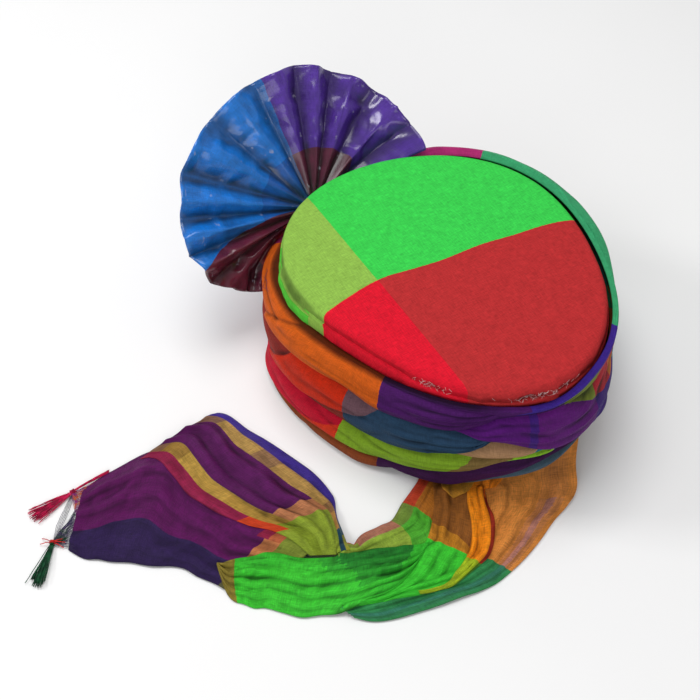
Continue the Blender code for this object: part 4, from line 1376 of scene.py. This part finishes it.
# %% Tail: centre sheet
CENTRE = (
    (0.15, 0.16, 0.15, 0.50), (1.04, 0.14, 1.54, 0.46), (1.74, 0.18, 2.00, 0.50), (2.39, 0.24, 2.49, 0.56),
    (2.90, 0.29, 3.40, 0.70), (3.47, 0.37, 3.53, 0.74), (3.96, 0.44, 3.68, 0.77), (4.62, 0.59, 4.01, 0.82),
    (5.10, 0.70, 4.37, 0.85), (5.80, 0.81, 4.84, 0.85), (6.34, 0.92, 5.68, 0.87),
)
lay("tail_centre", CENTRE, ((0.25, 0.30, 0.0022, 0.14), (0.60, 0.55, 0.0020, 0.16)), (
    (-1.0, ((0, "8A521C"), (4.0, "B8781E"), (5.0, "3CC832"))),
), [], "tail_inner_panel", ["tail_inner", "tail_copper"], start=0.8, seed=72)

# %% Tail: upper sheet of the free end, with its gold borders
UPPER = (
    (6.96, 0.57, 5.96, 0.39), (7.25, 0.54, 5.95, 0.12), (7.66, 0.53, 6.05, 0.00), (8.05, 0.55, 6.45, -0.06),
    (8.41, 0.58, 7.13, -0.03), (9.08, 0.61, 7.84, -0.01), (9.91, 0.58, 8.48, 0.00), (10.58, 0.53, 9.12, 0.00),
    (11.27, 0.41, 9.82, 0.01), (11.86, 0.21, 10.45, 0.00), (12.28, 0.11, 11.00, -0.02),
)
lay("tail_upper", UPPER, ((0.04, 0.06, 0.0028, 0.05), (0.34, 0.36, 0.0040, 0.10), (0.55, 0.60, 0.0034, 0.12),
                          (0.80, 0.84, 0.0020, 0.08)), (
    (-1.0, ((0, "8CA030"), (2.2, "CC401A"), (4.4, "8E1A44"))),
    (0.12, ((0, "8CA030"), (3.0, "B89444"), (5.5, "C4A04C"), (8.2, "A88440"), (9.3, "8E6A50"))),
    (0.26, ((0, "8CA030"), (3.0, "B87850"), (4.0, "561054"))),
    (0.70, ((0, "2C5468"), (1.2, "C09050"), (2.6, "A07850"), (3.4, "C09A58"), (6.0, "A07C58"), (7.0, "BE9A58"),
            (9.0, "94705C"))),
    (0.85, ((0, "A0A030"), (0.8, "2C5468"), (2.0, "3E2A90"))),
), ["tail_end_upper"], "tail_end_upper", ["tail_lower", "tail_inner"], columns=60, seed=76,
    gold=((0.12, 0.26), (0.70, 0.85)))

# %% Tail: ribbon and green fold
RIBBON = (
    (0.15, 0.38, 0.15, 0.52), (1.58, 0.37, 1.67, 0.52), (1.94, 0.40, 1.93, 0.51), (2.28, 0.44, 2.27, 0.57),
    (2.65, 0.51, 2.52, 0.64), (3.03, 0.59, 2.90, 0.72), (3.39, 0.67, 3.31, 0.80), (3.63, 0.71, 3.63, 0.82),
    (3.95, 0.76, 3.91, 0.83), (4.36, 0.83, 4.31, 0.86), (4.84, 0.83, 4.84, 0.85),
)
GREEN = (
    (3.57, 0.41, 3.97, 0.46), (3.77, 0.37, 4.67, 0.62), (4.02, 0.32, 5.15, 0.73), (4.43, 0.26, 5.83, 0.84),
    (5.03, 0.25, 6.34, 0.96), (6.22, 0.46, 6.62, 1.00), (6.75, 0.56, 6.83, 1.04), (7.15, 0.62, 7.07, 1.03),
    (7.47, 0.65, 7.32, 1.02), (7.77, 0.71, 7.46, 1.04), (8.05, 0.77, 7.63, 1.03), (8.24, 0.82, 7.83, 1.02),
    (8.45, 0.87, 8.30, 0.90),
)
lay("tail_ribbon", RIBBON, ((0.15, 0.15, 0.0030, 0.20), (0.75, 0.75, 0.0034, 0.25)), (
    (-1.0, ((0, "F08A10"), (6.8, "A8C020"))),
    # past 0.82 across, the ribbon's orange and lime are darker copies with dark red between: painted shade along
    # that edge, and in part a dark red fold beneath it
    (0.82, ((0, "D8641A"), (2.5, "9C2A14"), (6.8, "4C8020"))),
), ["tail_ribbon_fold"], "tail_ribbon_fold", ["tail_centre", "tail_copper"],
    columns=24, steps=10, start=0.8, seed=80)
lay("tail_green", GREEN, ((0.30, 0.10, 0.0024, 0.12), (0.52, 0.34, 0.0044, 0.16), (0.78, 0.50, 0.0036, 0.14),
                          (0.95, 0.72, 0.0024, 0.12)), (
    # from about row 1.3 to 6 the greens get darker towards the inner edge: painted shade along the fold's upper
    # inner edge
    (-1.0, ((0, "38BC30"), (1.3, "1E7826"), (5.2, "2C9C2C"), (6.0, "34B42C"), (10.5, "86762C"))),
    (0.10, ((0, "38BC30"), (1.4, "1F7D27"), (5.0, "2C9C2C"), (5.8, "38BC30"), (10.5, "86762C"))),
    (0.20, ((0, "38BC30"), (1.6, "238628"), (4.8, "30A62E"), (5.5, "3CC432"), (10.5, "86762C"))),
    (0.30, ((0, "38BC30"), (1.8, "27902A"), (4.6, "34B42C"), (5.2, "3CC432"), (10.5, "86762C"))),
    (0.42, ((0, "38BC30"), (2.1, "2C9C2C"), (4.4, "38BC30"), (5.0, "3CC432"), (10.5, "86762C"))),
    (0.55, ((0, "38BC30"), (2.5, "31A82E"), (4.2, "3CC432"), (10.5, "86762C"))),
    (0.68, ((0, "38BC30"), (3.0, "3CC432"), (10.5, "86762C"))),
), ["tail_green_fold"], "tail_green_fold", ["tail_centre", "tail_lower", "tail_upper"], ragged=(0.25, 0.08),
    columns=56, seed=84)

# %% [markdown]
# Just outside the wraps a corner of the cloth is tucked through itself. Two small sheets stand for it.

# %% Tail: the small knot under the wraps
KNOT = ((1.40, 0.42, 1.40, 0.58), (1.72, 0.43, 1.72, 0.59), (1.95, 0.47, 1.88, 0.57))
FLAP = ((1.40, 0.20, 1.40, 0.43), (1.78, 0.24, 1.75, 0.42), (2.08, 0.33, 1.95, 0.41))
lay("tail_flap", FLAP, ((0.5, 0.5, 0.0024, 0.3),), (
    (-1.0, ((0, "C08428"),)),
), [], "tail_ribbon_fold", ["tail_centre"], columns=16, steps=12, seed=90)
lay("tail_knot", KNOT, ((0.4, 0.45, 0.0030, 0.3), (0.75, 0.7, 0.0022, 0.2)), (
    (-1.0, ((0, "F08418"),)),
), [], "tail_ribbon_fold", ["tail_ribbon"], columns=18, steps=12, seed=92)

# %% [markdown]
# ## Loose threads
#
# At the free end the weft has come out, and the bare warp is drawn together into two knots with a tassel on each.
# A thread is only a path here. One Geometry Nodes tree turns all paths into thin tubes, with a little seeded noise
# so that no two threads lie alike, and the result is turned into a plain mesh.

# %% Threads: node tree
THREAD_STEP = 0.0022        # length of one piece of a tube
THREAD_SIDES = 5


def build_thread_tree():
    """Paths in, thin tubes out."""
    tree = bpy.data.node_groups.new("spun_threads", "GeometryNodeTree")
    group_socket(tree, "Geometry", "NodeSocketGeometry", "INPUT")
    group_socket(tree, "Thickness", "NodeSocketFloat", "INPUT", 0.0003)
    group_socket(tree, "Stray", "NodeSocketFloat", "INPUT", 0.001)
    group_socket(tree, "Seed", "NodeSocketFloat", "INPUT", 1.0)
    group_socket(tree, "Thread", "NodeSocketMaterial", "INPUT")
    group_socket(tree, "Geometry", "NodeSocketGeometry", "OUTPUT")
    source = tree.nodes.new("NodeGroupInput")
    target = tree.nodes.new("NodeGroupOutput")

    def step(kind, **links):
        node = tree.nodes.new(kind)
        for key, socket in links.items():
            tree.links.new(socket, node.inputs[key.replace("_", " ")])
        return node

    paths = step("GeometryNodeMeshToCurve", Mesh=source.outputs["Geometry"])
    fine = step("GeometryNodeResampleCurve", Curve=paths.outputs["Curve"])
    fine.mode = "LENGTH"
    fine.inputs["Length"].default_value = THREAD_STEP
    wander = tree.nodes.new("ShaderNodeTexNoise")
    wander.noise_dimensions = "4D"
    wander.inputs["Scale"].default_value = 110.0
    tree.links.new(source.outputs["Seed"], wander.inputs["W"])
    centred = tree.nodes.new("ShaderNodeVectorMath")
    centred.operation = "SUBTRACT"
    centred.inputs[1].default_value = (0.5, 0.5, 0.45)
    tree.links.new(wander.outputs["Color"], centred.inputs[0])
    offset = scaled(tree, centred.outputs[0], source.outputs["Stray"])
    moved = step("GeometryNodeSetPosition", Geometry=fine.outputs["Curve"], Offset=offset)
    ring = tree.nodes.new("GeometryNodeCurvePrimitiveCircle")
    ring.inputs["Resolution"].default_value = THREAD_SIDES
    tree.links.new(source.outputs["Thickness"], ring.inputs["Radius"])
    tube = step("GeometryNodeCurveToMesh", Curve=moved.outputs["Geometry"])
    tree.links.new(ring.outputs["Curve"], tube.inputs["Profile Curve"])
    tube.inputs["Fill Caps"].default_value = True
    real = step("GeometryNodeRealizeInstances", Geometry=tube.outputs["Mesh"])
    finish = step("GeometryNodeSetMaterial", Geometry=real.outputs["Geometry"])
    tree.links.new(source.outputs["Thread"], finish.inputs["Material"])
    tree.links.new(finish.outputs["Geometry"], target.inputs["Geometry"])
    return tree


thread_tree = build_thread_tree()
print("thread tree with", len(thread_tree.nodes), "nodes")


# %% Threads: spinning paths into tubes
def thread_material(name, codes):
    """Spun thread whose shade wanders between two colours."""
    material, tree, shader = new_material(name)
    where = tree.nodes.new("ShaderNodeTexCoord")
    speck = add_noise(tree, where.outputs["Object"], 260.0)
    choice = add_math(tree, "MULTIPLY", add_math(tree, "SUBTRACT", speck, 0.42), 6.0, clamp=True)
    shade = add_mix(tree, choice, linear(codes[0]), linear(codes[1]))
    tree.links.new(shade, shader.inputs["Base Color"])
    rough = add_math(tree, "ADD", add_math(tree, "MULTIPLY", speck, 0.3), 0.45)
    tree.links.new(rough, shader.inputs["Roughness"])
    shader.inputs["Specular IOR Level"].default_value = 0.2
    return material


def spin(name, paths, material, thickness, stray, seed):
    """Turns paths, each a list of points, into one mesh of thin tubes."""
    points = [p for path in paths for p in path]
    edges = []
    start = 0
    for path in paths:
        edges += [(start + i, start + i + 1) for i in range(len(path) - 1)]
        start += len(path)
    mesh = bpy.data.meshes.new(name)
    mesh.from_pydata(points, edges, [])
    piece = linked(name, mesh)
    modifier = piece.modifiers.new("spun", "NODES")
    modifier.node_group = thread_tree
    values = {"Thickness": thickness, "Stray": stray, "Seed": seed, "Thread": material}
    for item in thread_tree.interface.items_tree:
        if item.in_out == "INPUT" and item.name in values:
            modifier[item.identifier] = values[item.name]
    return finished(piece)


# %% Tassels and net: places
TASSEL_LENGTH = 0.036
CORD_RADIUS = 0.0011
TASSELS = (
    # name          row  across knot x  knot y  heading
    ("tassel_pink", 13, -0.02, 0.83, -0.11, -6),
    ("tassel_green", 14, 0.85, 0.25, -0.08, 35),
)
chance = random.Random(11)


def on_floor(p, height):
    return Vector((p.x, p.y, max(p.z, height)))


def tassel_paths(knot, heading, count):
    """Threads that spread from a knot to the tassel's tip."""
    paths = []
    for _ in range(count):
        spread = chance.gauss(0, 0.085)
        turn = radians(heading) + spread
        long = TASSEL_LENGTH * chance.uniform(0.82, 1.0)
        out = Vector((cos(turn), sin(turn), 0))
        beside = Vector((-sin(turn), cos(turn), 0)) * chance.uniform(-0.0012, 0.0012)
        lift = chance.uniform(0.0006, 0.0030)
        path = []
        for k in range(7):
            share = k / 6
            z = 0.0018 + (lift - 0.0014) * ease(share * 2)
            path.append(knot + beside + out * long * share + Vector((0, 0, z - knot.z)))
        paths.append(path)
    return paths


def winding(middle, along, turns, radius, pitch):
    """Thread wound around a knot."""
    beside = Vector((-along.y, along.x, 0))
    path = []
    for k in range(turns * 10 + 1):
        turn = 2 * pi * k / 10
        shift = (k / 10 - turns / 2) * pitch
        path.append(middle + along * shift + beside * radius * cos(turn) + Vector((0, 0, radius * sin(turn))))
    return path


# %% [markdown]
# Each tassel is a bundle of threads from its knot, a short cord back to the cloth, and a thread wound around the
# knot. The net is drawn from the last rows of the lower sheet to the same two knots.

# %% Tassels
PINK = thread_material("pink_thread", ("C4104C", "8E1238"))
DARK_GREEN = thread_material("green_thread", ("0B4A2A", "06301C"))
RED = thread_material("red_thread", ("D42A20", "A81C24"))
knots = []
for (name, row, across, knot_x, knot_y, heading), material in zip(TASSELS, (PINK, DARK_GREEN)):
    reach = Vector((knot_x, knot_y, 0)) * TASSEL_LENGTH
    start = tail_place(row, across) + reach.normalized() * (GAP + CORD_RADIUS / 2)
    knot = start + reach
    knot.z = 0.0026
    start.z = 0.0018
    along = Vector((cos(radians(heading)), sin(radians(heading)), 0))
    paths = tassel_paths(knot, heading, 46)
    for _ in range(9):
        near = Vector((chance.gauss(0, 0.0006), chance.gauss(0, 0.0006), abs(chance.gauss(0, 0.0005))))
        paths.append([start + near, start.lerp(knot, 0.5) + near * 0.8, knot + near * 0.5])
    paths.append(winding(knot + Vector((0, 0, -0.0004)), along, 5, 0.0019, 0.0007))
    piece = spin(name + "_threads", paths, material, 0.00030, 0.0012, heading)
    dress(piece, material, [name])
    knots.append(knot)
    print(piece.name, len(piece.data.polygons), "faces")

# %% Net of bare warp
def net_paths(first, last, knot, count):
    """Bare threads from a stretch of the cloth's end to a knot."""
    paths = []
    for k in range(count):
        across = first + (last - first) * (k + chance.uniform(0.1, 0.9)) / count
        inner = tail_place(13.74 - chance.uniform(0.0, 0.42), across)
        edge = tail_place(13.86, across)
        middle = edge.lerp(knot, 0.5) + Vector((chance.uniform(-0.002, 0.002), chance.uniform(-0.002, 0.002), 0))
        close = knot + Vector((chance.gauss(0, 0.0006), chance.gauss(0, 0.0006), 0))
        path = [inner, edge, middle, close]
        paths.append([on_floor(p, 0.0020 if i < 2 else 0.0008 + 0.0004 * (k % 3)) for i, p in enumerate(path)])
    return paths


NET_PINK = thread_material("net_violet", ("7A2A6A", "B4582E"))
NET_GREY = thread_material("net_grey", ("3A3050", "2C3A38"))
across_knots = [[knots[0].lerp(knots[1], share) + Vector((0.006 * sin(pi * share) * (k - 2) / 3, 0, -0.0012))
                 for share in (0.0, 0.2, 0.4, 0.6, 0.8, 1.0)] for k in range(5)]
for name, paths, material in (("net_upper", net_paths(0.0, 0.42, knots[0], 46), NET_PINK),
                              ("net_lower", net_paths(0.36, 1.0, knots[1], 52) + across_knots, NET_GREY)):
    piece = spin(name, paths, material, 0.00016, 0.0022, 5.0)
    dress(piece, material, [])
    print(name, len(paths), "threads,", len(piece.data.polygons), "faces")
bow = [winding(knots[1] + Vector((0, 0, 0.0004)), Vector((0.8, 0.6, 0)), 3, 0.0021, 0.0007)]
for turn in (-70, -40, 110, 140, 160):
    out = Vector((cos(radians(turn)), sin(radians(turn)), 0))
    bow.append([knots[1] + Vector((0, 0, 0.001)), knots[1] + out * 0.004 + Vector((0, 0, 0.0012)),
                knots[1] + out * 0.009 + Vector((0, 0, -0.001))])
piece = spin("red_bow", bow, RED, 0.00035, 0.0012, 7.0)
dress(piece, RED, [])

# %% [markdown]
# The cover was cut and tacked down by hand, so short pale ends stand out below the crown's edge. A few violet ones
# lie on the orange roll. Both are found by looking at the finished surface from outside.

# %% Frays on the crown's side and on the orange roll
def from_outside(surface, angle, z, lift):
    """Point on a surface, seen level from outside at an angle, and lifted off it."""
    inwards = Vector((-cos(angle), -sin(angle), 0))
    hit, normal = surface.ray_cast(place(0.25, angle, z), inwards)[:2]
    return hit + normal * lift if hit else place(crown_radius(angle) + lift, angle, z)


def fray_paths(count):
    """Short loose threads where the cover was cut and tacked down."""
    surface = surface_of(crown_cover)
    paths = []
    for _ in range(count):
        angle = radians(chance.choice((chance.gauss(37, 4), chance.gauss(72, 6), chance.gauss(68, 4))))
        down = chance.uniform(0.0055, 0.0105)
        turn = chance.uniform(-0.030, 0.030)
        path = []
        for k in range(4):
            share = k / 3
            lift = 0.0003 + 0.0010 * sin(pi * share)
            z = HEIGHT - down + 0.002 * (share - 0.5)
            path.append(from_outside(surface, angle + turn * share, z, lift))
        paths.append(path)
    return paths


FRAY = thread_material("pale_fray", ("E0C8C8", "B87070"))
frays = spin("crown_frays", fray_paths(110), FRAY, 0.00012, 0.0026, 9.0)
dress(frays, FRAY, [])
roll = surface_of(wrap_pieces[0])
loose = []
for begin, z in ((307.0, 0.735), (309.5, 0.715), (312.0, 0.745)):
    loose.append([from_outside(roll, radians(begin + 1.4 * k), HEIGHT * (z + 0.018 * sin(1.9 * k)), 0.0004)
                  for k in range(5)])
VIOLET = thread_material("violet_fray", ("5A1A5C", "3A1438"))
roll_threads = spin("roll_threads", loose, VIOLET, 0.00014, 0.0012, 3.0)
dress(roll_threads, VIOLET, [])
print("frays:", len(frays.data.polygons), "faces, on the roll:", len(roll_threads.data.polygons))
